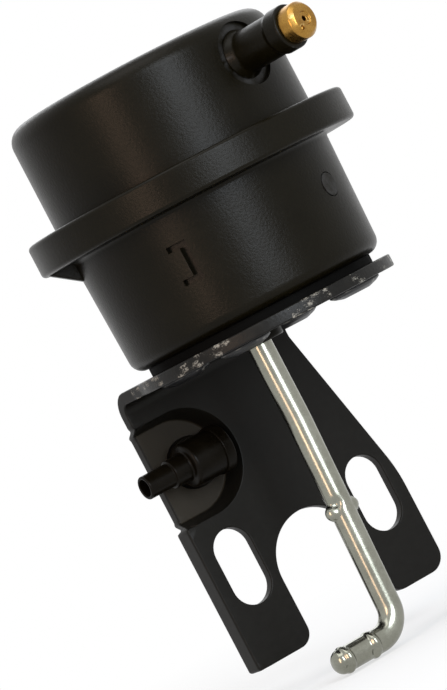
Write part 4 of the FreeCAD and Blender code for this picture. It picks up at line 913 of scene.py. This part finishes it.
# %% Fold a point
def fold_point(across, along, level):
    """A point of the blank after pressing and folding. Level is negative on the front face."""
    if along <= 0:
        spot = (across, FOLD_Y + along, SEAT - SHEET_T / 2 + level)
    elif along < FOLD_LONG:
        turn = along / NEUTRAL
        spot = (across, FOLD_Y + (NEUTRAL + level) * math.sin(turn),
                FOLD_Z + (NEUTRAL + level) * math.cos(turn))
    else:
        up, share = along_of(along), level / SHEET_T + 0.5
        push = pressed(across, up, False) * (1 - share) + pressed(across, up, True) * share
        spot = (across, level - SHEET_T / 2 + push, up)
    return Vector(spot) * MM


print("the blank's foot comes to", [round(v, 4) for v in fold_point(0, along_of(FOOT_Z), 0)])

# %% [markdown]
# ## Rows where the sheet bends
# A flat face needs only a few triangles, but a bend needs rows of points that follow it. A
# fine grid all over would do, at the price of many thousand faces. Here the rows lie only
# across the fold, round the dish and along the lip.

# %% Lay the guide rows
FOLD_ROWS, FOLD_STEPS, DISH_ROWS, DISH_STEPS, LIP_STEPS = 20, 60, 11, 16, 30


def guide_lines(rear):
    """Rows of points across the fold, round the dish and, on the rear face, along the lip."""
    lines = []
    for row in range(FOLD_ROWS + 1):
        along = FOLD_LONG * row / FOLD_ROWS
        lines.append([(-HALF_W + 0.35 + (HALF_W + NECK_W - 0.7) * at / FOLD_STEPS, along)
                      for at in range(FOLD_STEPS + 1)])
    edge = [-DISH_REACH + 0.5 + (DISH_REACH - 0.5 - DISH_X) * at / DISH_STEPS
            for at in range(DISH_STEPS)]
    for row in range(DISH_ROWS + 1):
        reach = DISH_R + 0.75 - 1.8 * row / DISH_ROWS
        upper = [(across, along_of(DISH_Z + reach + wall_at(across, rear))) for across in edge]
        lower = [(across, along_of(DISH_Z - reach - wall_at(across, rear)))
                 for across in reversed(edge)]
        bow = arc(-DISH_X, along_of(DISH_Z), reach + (DISH_WALL if rear else 0), -90, 90, 64)
        lines.append(upper + bow + lower)
    if rear:
        top, low = LIP_TOP - 0.15, FOOT_Z + 0.5
        for across in (-20.5, -20.6, -20.7, -20.8, -20.9):
            lines.append([(across, along_of(top + (low - top) * at / LIP_STEPS))
                          for at in range(LIP_STEPS + 1)])
    return [[Vector(spot) for spot in line] for line in lines]


print("guide rows:", len(guide_lines(False)), "in front and", len(guide_lines(True)), "behind")

# %% [markdown]
# ## Filling a face
# Each face of the sheet is filled with triangles between its outlines and rows. Blender can
# fill a face with holes by itself, but it adds no rows inside. The Delaunay function takes
# outlines and rows together, and gives even triangles. Those in a hole or past the edge are
# dropped by counting how often a line to the right crosses the outlines.

# %% Fill a face of the sheet
LACQUER, PAINTED_GLINTS, PALER_DISH = 0, 1, 2
PALER_DISH_FROM = DISH_DEPTH - SHEET_T - 0.3


def inside(spots, loops):
    """For each spot, whether it lies in the sheet and not in a hole."""
    across, along = spots[:, 0], spots[:, 1]
    odd = np.zeros(len(spots), bool)
    for loop in loops:
        for here, ahead in zip(loop, loop[1:] + loop[:1]):
            if here.y != ahead.y:
                crossing = (here.y > along) != (ahead.y > along)
                lean = (ahead.x - here.x) / (ahead.y - here.y)
                odd ^= crossing & (across < here.x + (along - here.y) * lean)
    return odd


def fill_face(mesh, loops, rings, level, lines):
    """Triangles between the outlines of one face, sharing the points of the rounded edges."""
    spots, edges, known = [], [], [vertex for ring in rings for vertex in ring]
    for line, closed in [(loop, 1) for loop in loops] + [(line, 0) for line in lines]:
        start, count = len(spots), len(line)
        edges += [(start + at, start + (at + 1) % count) for at in range(count - 1 + closed)]
        spots += line
    points, _, triangles, sources = delaunay_2d_cdt(spots, edges, [], 0, 1e-4)[:4]
    places = np.array([tuple(point) for point in points])
    kept = inside(places[np.array(triangles)].mean(axis=1), loops)
    made = {}
    for triangle, keep in zip(triangles, kept):
        if not keep:
            continue
        for at in triangle:
            if at not in made:
                old = [source for source in sources[at] if source < len(known)]
                made[at] = (known[old[0]] if old
                            else mesh.verts.new(fold_point(*points[at], level)))
        face = mesh.faces.new([made[at] for at in triangle])
        rear = face.calc_center_median().y / MM
        # Front faces pushed far enough to the rear, on the dish's floor, get the paler lacquer.
        face.material_index = PALER_DISH if level < 0 and rear > PALER_DISH_FROM else LACQUER


print("front faces of the plate are dusty from", round(PALER_DISH_FROM, 1), "mm to the rear")

# %% [markdown]
# ## The whole bracket
# The outlines are carried round the sheet's edge in eight steps, which makes a soft sheared
# edge, and both faces are then filled onto the first and last step, so the body is closed.
# The disc's edge gets the finish with painted glints. A knife-sharp edge would catch no light at all.

# %% Make the bracket
PAINTED_GLINTS_UNTIL = -4


def make_bracket():
    """The folded sheet with soft edges, holes, dish and lip."""
    outlines = [(outer_outline(), False)] + [(hole, True) for hole in hole_outlines()]
    quarter = [math.radians(30 * at) for at in range(4)]
    half = [(EDGE * (1 - math.sin(turn)), SHEET_T / 2 - EDGE * (1 - math.cos(turn)))
            for turn in quarter]
    rows = [(by, -level) for by, level in half] + list(reversed(half))
    mesh, front, rear = bmesh.new(), ([], []), ([], [])
    for outline, hole in outlines:
        loops = [inset(outline, by, hole) for by, _ in rows]
        rings = [[mesh.verts.new(fold_point(*spot, level)) for spot in loop]
                 for loop, (_, level) in zip(loops, rows)]
        for side, at in ((front, 0), (rear, -1)):
            side[0].append(loops[at])
            side[1].append(rings[at])
        for one, other in zip(rings, rings[1:]):
            for at in range(len(outline)):
                ahead = (at + 1) % len(outline)
                face = mesh.faces.new((one[at], one[ahead], other[ahead], other[at]))
                # Edge faces of the disc get the finish with painted glints.
                on_disc = not hole and outline[at].y < PAINTED_GLINTS_UNTIL
                face.material_index = PAINTED_GLINTS if on_disc else LACQUER
    fill_face(mesh, *front, -SHEET_T / 2, guide_lines(False))
    fill_face(mesh, *rear, SHEET_T / 2, guide_lines(True))
    bmesh.ops.recalc_face_normals(mesh, faces=mesh.faces)
    print("open edges of the bracket:", sum(not edge.is_manifold for edge in mesh.edges))
    bracket = as_object("pressed_bracket", mesh)
    for finish in ("lacquer", "painted_glints", "lighter"):
        bracket.data.materials.append(finishes[finish])
    return even_light(bracket, 38)


finish_piece(make_bracket(), "lacquer", "housing", "black_paint", "bracket")

# %% [markdown]
# ## The rod's path
# The rod is bar stock bent round a former: straight down, a slight lean, the bend and the
# level foot. A Bezier curve could follow it, but its speed changes along the way and would
# stretch the details. A marching point keeps an even step, and it turns only where the bar
# was bent.

# %% Walk along the rod
ROD_R, ROD_TOP, ROD_KINK, ROD_FOOT_Z, ROD_TIP_X = 2.38, 45.0, 20.2, -22.7, -19.5
LEAN, LEAN_R, BEND_R, TIP_ROUND = math.radians(2.1), 40.0, 5.0, 1.9
STEP = 0.2


def walk_rod():
    """Points and headings along the rod's axis, from the top to the tip."""
    across, up, heading, walk = AXIS_X + ROD_AT.x, ROD_TOP, 0.0, []
    while across > ROD_TIP_X + 1e-6:
        walk.append((across, up, heading))
        step = min(STEP, across - ROD_TIP_X) if heading > 1.5 else STEP
        if heading < LEAN and up < ROD_KINK:
            heading = min(LEAN, heading + step / LEAN_R)
        elif up < ROD_FOOT_Z + BEND_R * (1 - math.sin(LEAN)):
            heading = min(math.pi / 2, heading + step / BEND_R)
        across -= math.sin(heading) * step
        up -= math.cos(heading) * step
    walk.append((ROD_TIP_X, up, heading))
    return walk


print("rod:", len(walk_rod()), "steps of", STEP, "mm")

# %% [markdown]
# ## Pinched ears and stops
# Two places were pinched in a press, which pushes metal out sideways: as ears on the upright,
# and as stops beside the journal on the foot. Balls joined onto a cylinder would show a
# crease all round. Here the radius itself changes with the place and the angle, so the metal
# flows out of the bar and back, and small dents show where the press held it.

# %% Shape the rod's section
EAR_Z, EAR_HALF, EAR_SIDE, EAR_FRONT, EAR_DENT = 1.4, 2.2, 3.6, 1.9, 0.6
STOP_X, STOP_HALF, STOP_SIDE, STOP_FRONT, STOP_DENT = (-10.9, -17.0), 1.5, 2.66, 3.1, 0.75
DENT_HALF, DENT_TURN = 0.8, 0.36


def pinch(along, half, reach_side, reach_front, turn):
    """Radius of a lens-shaped swelling at a distance along the rod."""
    share = max(0.0, 1 - (along / half) ** 2) ** 0.5
    return share * reach_side * reach_front / math.hypot(
        reach_front * math.sin(turn), reach_side * math.cos(turn))


def dent(along, turn, at_turn, depth):
    """Depth of a small round dent at one angle."""
    apart = math.remainder(turn - at_turn, math.tau)
    return depth * math.exp(-(along / DENT_HALF) ** 2 - (apart / DENT_TURN) ** 2)


def rod_radius(across, up, heading, turn):
    """Radius at one angle. 0 faces the rear, and a quarter turn faces out of the bend."""
    if heading < 0.5:
        radius = max(ROD_R, pinch(up - EAR_Z, EAR_HALF, EAR_SIDE, EAR_FRONT, turn))
        return radius - sum(dent(up - EAR_Z - 1.3, turn, side * math.pi, EAR_DENT)
                            for side in (-0.75, -0.25))
    radius = ROD_R
    for place in STOP_X:
        radius = max(radius, pinch(across - place, STOP_HALF, STOP_SIDE, STOP_FRONT, turn))
        radius -= sum(dent(across - place + 0.5, turn, side * math.pi, STOP_DENT)
                      for side in (0.8, -0.2))
    from_tip = across - ROD_TIP_X
    if from_tip < TIP_ROUND:
        radius -= TIP_ROUND - math.sqrt(max(0.0, TIP_ROUND ** 2 - (TIP_ROUND - from_tip) ** 2))
    return radius


print("widest ear:", round(rod_radius(0, EAR_Z, 0, math.pi / 2), 2), "mm from the rod's axis")

# %% [markdown]
# ## The whole rod
# The sections are joined into a closed tube along the path. The top end is thinner, carries
# the washer and is riveted over. It is turned work, so it is spun and joined on. A sweep
# along a curve could make the plain bar, but it can't change its section as a press does.

# %% Make the rod
def make_rod(sides=48):
    """The bent bar with its ears and stops, and its riveted top."""
    mesh, rings = bmesh.new(), []
    back = AXIS_Y + ROD_AT.y
    turns = [math.tau * at / sides for at in range(sides)]
    for across, up, heading in walk_rod():
        outward = Vector((math.cos(heading), 0, -math.sin(heading)))
        middle, ring = Vector((across, back, up)), []
        for turn in turns:
            way = Vector((0, 1, 0)) * math.cos(turn) + outward * math.sin(turn)
            spot = middle + way * rod_radius(across, up, heading, turn)
            ring.append(mesh.verts.new(spot * MM))
        rings.append(ring)
    for one, other in zip(rings, rings[1:]):
        for at in range(sides):
            ahead = (at + 1) % sides
            mesh.faces.new((one[at], one[ahead], other[ahead], other[at]))
    mesh.faces.new(rings[0])
    mesh.faces.new(reversed(rings[-1]))
    bmesh.ops.recalc_face_normals(mesh, faces=mesh.faces)
    rod = as_object("bent_rod", mesh)
    top = low_high("rod")[1].z
    head = round_corners([(0, 43, 0), (2.3, 43, 0), (2.3, 45.8, 0), (3.6, 45.8, 0.2),
                          (3.6, 46.8, 0.2), (1.9, 46.8, 0), (1.9, 51.7, 0), (3.0, 51.7, 0.2),
                          (3.0, 52.3, 0.3), (1.8, top, 0.5), (0, top, 0)])
    at_rod = Matrix.Translation(Vector((AXIS_X + ROD_AT.x, back, 0)) * MM)
    carve(rod, as_object("rivet_head", spin_outline(head, 64), at_rod), "UNION")
    shade(rod, 50)
    return rod


finish_piece(make_rod(), "rod", "rod_assembly", "plated_steel", "rod")

# %% [markdown]
# ## A tree for the spring
# The spring stands between the piston and the roof. A wire that follows a helix is a rule,
# and Geometry Nodes suit rules: a spiral for the path, a circle for the wire, and the two
# swept together. The Screw modifier could wind it as well, but its sizes are less plain than
# the named inputs of a tree. They are set by identifier, before the first evaluation.

# %% Draw the spring tree
GEOMETRY, MATERIAL = "NodeSocketGeometry", "NodeSocketMaterial"


def spring_tree():
    """A node tree that sweeps a round wire along a helix."""
    tree, given, made = new_group("wire_on_helix", [
        ("Geometry", GEOMETRY), ("Coil Radius", FLOAT), ("Wire Radius", FLOAT),
        ("Height", FLOAT), ("Turns", FLOAT), ("Foot", VECTOR), ("Finish", MATERIAL)],
        [("Geometry", GEOMETRY)], "GeometryNodeTree")
    helix = add_node(tree, "GeometryNodeCurveSpiral", Resolution=48)
    wire = add_node(tree, "GeometryNodeCurvePrimitiveCircle", Resolution=16)
    sweep = add_node(tree, "GeometryNodeCurveToMesh", Fill_Caps=True)
    place = tree.nodes.new("GeometryNodeTransform")
    join(tree,
         (given["Coil Radius"], helix.inputs["Start Radius"]),
         (given["Coil Radius"], helix.inputs["End Radius"]),
         (given["Height"], helix.inputs["Height"]), (given["Turns"], helix.inputs["Rotations"]),
         (given["Wire Radius"], wire.inputs["Radius"]),
         (helix.outputs["Curve"], sweep.inputs["Curve"]),
         (wire.outputs["Curve"], sweep.inputs["Profile Curve"]),
         (sweep.outputs["Mesh"], place.inputs["Geometry"]),
         (given["Foot"], place.inputs["Translation"]))
    end_tree(tree, place.outputs["Geometry"], given["Finish"], made["Geometry"])
    return tree


def end_tree(tree, source, finish, result):
    """Close a tree with Realize Instances and Set Material."""
    real = tree.nodes.new("GeometryNodeRealizeInstances")
    paint = tree.nodes.new("GeometryNodeSetMaterial")
    join(tree, (source, real.inputs["Geometry"]),
         (real.outputs["Geometry"], paint.inputs["Geometry"]),
         (finish, paint.inputs["Material"]), (paint.outputs["Geometry"], result))


def run_tree(name, tree, values):
    """Run a node tree on an empty object and keep the plain mesh."""
    thing = bpy.data.objects.new(name, bpy.data.meshes.new(name))
    scene.collection.objects.link(thing)
    change = thing.modifiers.new(tree.name, "NODES")
    change.node_group = tree
    sockets = {item.name: item.identifier for item in tree.interface.items_tree
               if item.in_out == "INPUT"}
    for title, value in values.items():
        change[sockets[title]] = value
    return settle(thing)


helix_tree = spring_tree()
print("tree:", helix_tree.name, "with", len(helix_tree.nodes), "nodes")

# %% [markdown]
# ## The return spring
# The spring pushes the rod down and is pressed shorter as the rod rises. The ends of a real
# spring are ground flat, so points past each end are set level here.

# %% Make the return spring
COIL_R, WIRE_R, TURNS = 15.0, 0.8, 6.0
spring_low, spring_high = (corner.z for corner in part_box("return_spring"))
spring_height = spring_high - spring_low
spring = run_tree("coil_spring", helix_tree, {
    "Coil Radius": COIL_R * MM, "Wire Radius": WIRE_R * MM, "Height": spring_height,
    "Turns": TURNS, "Foot": (AXIS_X * MM, AXIS_Y * MM, spring_low), "Finish": finishes["wire"]})
for vertex in spring.data.vertices:
    vertex.co.z = min(spring_high, max(spring_low, vertex.co.z))
spring_mesh = bmesh.new()
spring_mesh.from_mesh(spring.data)
bmesh.ops.recalc_face_normals(spring_mesh, faces=spring_mesh.faces)
spring_mesh.to_mesh(spring.data)
spring_mesh.free()
spring.data.shade_smooth()
finish_piece(spring, "wire", "housing", "spring_steel", "return_spring")
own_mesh(spring)

# %% [markdown]
# ## The rolling diaphragm
# The diaphragm is a thin rubber hat. Its bead is held in the rim, its middle is clamped to
# the piston, and the roll between them takes up the travel. A cloth simulation could roll it,
# but the result has to look the same on every run.

# %% Make the diaphragm
RUBBER_T, ROLL_IN, ROLL_OUT, CLAMP_R = 0.8, 19.75, 23.65, 2.25
diaphragm_low, diaphragm_high = low_high("diaphragm")


def make_diaphragm():
    """The rubber hat with its bead and the hole where it is clamped."""
    low, crest = diaphragm_low.z - SEAT, diaphragm_high.z - SEAT
    flange, under = LEDGE + 0.1, crest - RUBBER_T
    wall_in, wall_out = ROLL_IN + RUBBER_T, ROLL_OUT - RUBBER_T
    bead_in, bead_out = BEAD_R - 0.6, BEAD_R + 0.6
    corners = [(0, low, 0), (wall_in, low, 1.5), (wall_in, under, 0.7), (wall_out, under, 0.7),
               (wall_out, flange, 0), (bead_in, flange, 0), (bead_in, flange - 1, 0.2),
               (bead_out, flange - 1, 0.2), (bead_out, flange + RUBBER_T, 0.2),
               (ROLL_OUT, flange + RUBBER_T, 0.3), (ROLL_OUT, crest, 1.5),
               (ROLL_IN, crest, 1.5), (ROLL_IN, low + RUBBER_T, 0.6), (0, low + RUBBER_T, 0)]
    sheet = as_object("rolling_diaphragm", spin_outline(round_corners(corners)), CAN)
    carve(sheet, as_object("clamp_hole", bar(CLAMP_R, low - 1, low + 2), ROD_AXIS))
    return even_light(sheet, 40)


diaphragm = make_diaphragm()
diaphragm.data.materials.append(finishes["rubber"])
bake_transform(diaphragm)
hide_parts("diaphragm")
print(diaphragm.name, len(diaphragm.data.polygons), "faces")

# %% [markdown]
# ## The small fitting in the dish
# The fitting is a moulded elbow for a thin hose. Its open arm lies to the left, and its stem
# goes through the dish. One swept tube could make the elbow, but the steps on both legs are
# turned shapes. Each leg is spun about its own axis, and the two are joined.

# %% Make the fitting
ARM_Y = -2.85


def make_fitting():
    """The stepped arm and the stem, joined into an elbow."""
    low, high = low_high("port_elbow")
    middle = (low.z + high.z) / 2
    to_left = Matrix.Translation(Vector((0, ARM_Y, middle)) * MM) @ turned(-90, "Y")
    to_rear = Matrix.Translation(Vector((PORT_X, ARM_Y, middle)) * MM) @ turned(-90, "X")
    arm = round_corners([(0, 8.5, 0), (4.75, 8.5, 0.45), (4.75, 10.7, 0.3), (4.4, 10.7, 0),
                         (4.4, 17.3, 0.9), (2.75, 17.3, 0.35), (2.75, 21.0, 0.4),
                         (2.3, 21.0, 0.15), (2.3, 26.8, 0.4), (1.7, 26.8, 0.2), (1.7, 12.9, 0),
                         (0, 12.9, 0)])
    fitting = as_object("port_moulding", spin_outline(arm, 96), to_left)
    stem = round_corners([(0, 3.0, 0), (4.9, 3.55, 0.2), (4.9, 4.75, 0.1), (3.0, 4.75, 0),
                          (3.0, 12.45, 0.4), (1.7, 12.45, 0.2), (1.7, 5.5, 0), (0, 5.5, 0)])
    carve(fitting, as_object("stem", spin_outline(stem, 96), to_rear), "UNION")
    return even_light(fitting, 35)


finish_piece(make_fitting(), "port", "housing", "black_plastic", "port_elbow")

# %% [markdown]
# ## One screw
# Four low domed screws hold the canister on the disc. They are alike, so one is enough. It
# could stay a plain disc at this size, but the view from below shows its hexagon socket. The
# head and shank are spun, and the socket is cut with a six-sided prism.

# %% Make one screw
HEAD_R, SHANK_R, SOCKET_R = 5.0, 1.85, 1.5
DISC_UNDER = SEAT - SHEET_T


def make_screw():
    """One domed screw with a hexagon socket."""
    low, high = low_high("canister_screws")
    rise, length = DISC_UNDER - low.z, high.z - DISC_UNDER
    outline = round_corners([(0, length, 0), (SHANK_R, length, 0.4), (SHANK_R, 0, 0),
                             (HEAD_R, 0, 0.15), (HEAD_R, -0.35, 0.25),
                             (4.2, -rise * 0.62, 1.5), (2.6, -rise, 1.5), (0, -rise, 0)])
    screw = as_object("screw", spin_outline(outline, 96))
    hexagon = [(SOCKET_R * math.cos(math.radians(60 * at)),
                SOCKET_R * math.sin(math.radians(60 * at))) for at in range(6)]
    carve(screw, as_object("socket", prism(hexagon, -0.9, rise + 1, turned(90, "Y"))))
    even_light(screw, 35)
    screw.data.materials.append(finishes["screw"])
    return screw


one_screw = make_screw()
print("one screw:", len(one_screw.data.polygons), "faces")

# %% [markdown]
# ## Four screws on a circle
# The four screws share one circle. They could be copied by hand or with an Array modifier
# round an empty, but a small node tree says the rule itself: the count, the circle and the
# first turn are its inputs. It sets the screw on the points of a circle, and makes the copies
# real at its end, because an export drops instances.

# %% Set the screws on their circle
def circle_tree():
    """A node tree that sets an object on the points of a circle."""
    tree, given, made = new_group("set_on_circle", [
        ("Geometry", GEOMETRY), ("Piece", "NodeSocketObject"), ("Count", "NodeSocketInt"),
        ("Radius", FLOAT), ("First Turn", FLOAT), ("Centre", VECTOR), ("Finish", MATERIAL)],
        [("Geometry", GEOMETRY)], "GeometryNodeTree")
    circle = tree.nodes.new("GeometryNodeMeshCircle")
    turn = tree.nodes.new("ShaderNodeCombineXYZ")
    place = tree.nodes.new("GeometryNodeTransform")
    piece = tree.nodes.new("GeometryNodeObjectInfo")
    put = tree.nodes.new("GeometryNodeInstanceOnPoints")
    join(tree,
         (given["Count"], circle.inputs["Vertices"]), (given["Radius"], circle.inputs["Radius"]),
         (given["First Turn"], turn.inputs["Z"]), (circle.outputs["Mesh"], place.inputs["Geometry"]),
         (turn.outputs["Vector"], place.inputs["Rotation"]),
         (given["Centre"], place.inputs["Translation"]), (given["Piece"], piece.inputs["Object"]),
         (place.outputs["Geometry"], put.inputs["Points"]),
         (piece.outputs["Geometry"], put.inputs["Instance"]))
    end_tree(tree, put.outputs["Instances"], given["Finish"], made["Geometry"])
    return tree


screws = run_tree("domed_screws", circle_tree(), {
    "Piece": one_screw, "Count": 4, "Radius": SCREW_CIRCLE * MM,
    "First Turn": math.radians(45), "Finish": finishes["screw"],
    "Centre": (AXIS_X * MM, AXIS_Y * MM, DISC_UNDER * MM)})
bpy.data.objects.remove(one_screw)
finish_piece(screws, "screw", "housing", "dark_steel", "canister_screws")

# %% [markdown]
# ## White ground for the eye, plain light for the object
# The photograph has a white ground. Stronger lamps could bleach the floor, but they would
# bleach the object too. Light Path tells which rays are on their way to the camera or
# to a reflection. Those see plain white, and all other rays see the real floor and sky.

# %% Write the white switch
def white_where_seen(tree, plain, white, result, white_share=None):
    """Mix a plain shader with a white one for camera, glossy and transmission rays."""
    path = tree.nodes.new("ShaderNodeLightPath").outputs
    seen = path["Is Camera Ray"]
    wanted = [("MAXIMUM", path["Is Glossy Ray"]), ("MAXIMUM", path["Is Transmission Ray"])]
    if white_share is not None:
        wanted.append(("MULTIPLY", white_share))
    for operation, other in wanted:
        both = add_node(tree, "ShaderNodeMath", operation=operation)
        join(tree, (seen, both.inputs[0]), (other, both.inputs[1]))
        seen = both.outputs["Value"]
    mix = tree.nodes.new("ShaderNodeMixShader")
    join(tree, (seen, mix.inputs["Fac"]), (plain, mix.inputs[1]), (white, mix.inputs[2]),
         (mix.outputs["Shader"], result))


print("helper made:", white_where_seen.__name__)

# %% [markdown]
# ## The sky
# A studio is never dark round the object: walls and ceiling send some light back. An image of
# a studio could do this, but a plain pale world does it without a file. It is slightly blue,
# which cools the shaded sides.

# %% Set the world
world = bpy.data.worlds.new("studio")
world.use_nodes = True
scene.world = world
sky = world.node_tree
sky.nodes["Background"].inputs["Color"].default_value = (0.93, 0.96, 1.0, 1)
sky.nodes["Background"].inputs["Strength"].default_value = 0.55
white = add_node(sky, "ShaderNodeBackground", Strength=1.0, Color=(1, 1, 1, 1))
white_where_seen(sky, sky.nodes["Background"].outputs["Background"],
                 white.outputs["Background"], sky.nodes["World Output"].inputs["Surface"])
print("world:", world.name)

# %% [markdown]
# ## The floor
# The floor lies just under the rod's foot and keeps a soft shadow, so that the object does
# not seem to float. A hard horizon would show where it ends. The floor turns white further
# out instead and melts into the sky.

# %% Lay the floor
FLOOR_Z = solid_box[0][2] - 0.0002
WHITE_NEAR, FADE_FROM, FADE_TO = 0.55, 0.06, 0.22
floor_mesh = bmesh.new()
bmesh.ops.create_grid(floor_mesh, x_segments=2, y_segments=2, size=4.0)
floor = as_object("floor", floor_mesh, Matrix.Translation((0, 0, FLOOR_Z)))

ground = bpy.data.materials.new("pale_floor")
ground.use_nodes = True
tree = ground.node_tree
shader = tree.nodes["Principled BSDF"]
for title, value in (("Base Color", (0.86, 0.86, 0.86, 1)), ("Roughness", 0.9),
                     ("Specular IOR Level", 0.0)):
    shader.inputs[title].default_value = value
glow = add_node(tree, "ShaderNodeEmission", Strength=1.0, Color=(1, 1, 1, 1))
where = tree.nodes.new("ShaderNodeTexCoord")
far = add_node(tree, "ShaderNodeVectorMath", operation="LENGTH")
join(tree, (where.outputs["Object"], far.inputs[0]))
share = tree.nodes.new("ShaderNodeMapRange")
share.inputs["To Min"].default_value = WHITE_NEAR
join(tree, (ramp_between(tree, far.outputs["Value"], FADE_FROM, FADE_TO), share.inputs["Value"]))
white_where_seen(tree, shader.outputs["BSDF"], glow.outputs["Emission"],
                 tree.nodes["Material Output"].inputs["Surface"], share.outputs["Result"])
floor.data.materials.append(ground)
print("floor at", round(FLOOR_Z, 4), "m")

# %% [markdown]
# ## The lamps
# The photograph shows soft light from large sources: one broad and cool, to the right of the
# camera, and one narrow and warm from the left, which draws a thin warm stripe on the black. Point lamps
# would give hard dots. Rectangles give long, even highlights, and their width sets the width
# of the stripes. A lamp above and one behind keep the other sides readable.

# %% Hang the lamps
LIT_POINT = Vector((0, -0.0237, 0.045))


def hang_lamp(name, azimuth, elevation, distance, wide, tall, power, colour):
    """A soft lamp that faces the canister. Azimuth 0 is the front, and 90 is the right."""
    turn, rise = math.radians(azimuth), math.radians(elevation)
    away = Vector((math.sin(turn) * math.cos(rise), -math.cos(turn) * math.cos(rise),
                   math.sin(rise)))
    data = bpy.data.lights.new(name, "AREA")
    data.shape, data.size, data.size_y = "RECTANGLE", wide, tall
    data.energy, data.color = power, colour
    lamp = bpy.data.objects.new(name, data)
    lamp.location = LIT_POINT + away * distance
    lamp.rotation_euler = away.to_track_quat("Z", "Y").to_euler()
    scene.collection.objects.link(lamp)
    return lamp


lamps = [
    hang_lamp("broad_lamp", -4, 15, 1.1, 0.46, 0.8, 12.5, (0.86, 0.93, 1.0)),
    hang_lamp("warm_strip", -62, 12, 1.0, 0.2, 0.6, 3.2, (1.0, 0.66, 0.46)),
    hang_lamp("top_lamp", -30, 72, 1.1, 0.8, 0.8, 4.0, (1.0, 0.99, 0.96)),
    hang_lamp("back_lamp", 150, 35, 1.2, 0.8, 0.8, 3.0, (0.95, 0.97, 1.0)),
]
print("lamps:", [lamp.name for lamp in lamps])
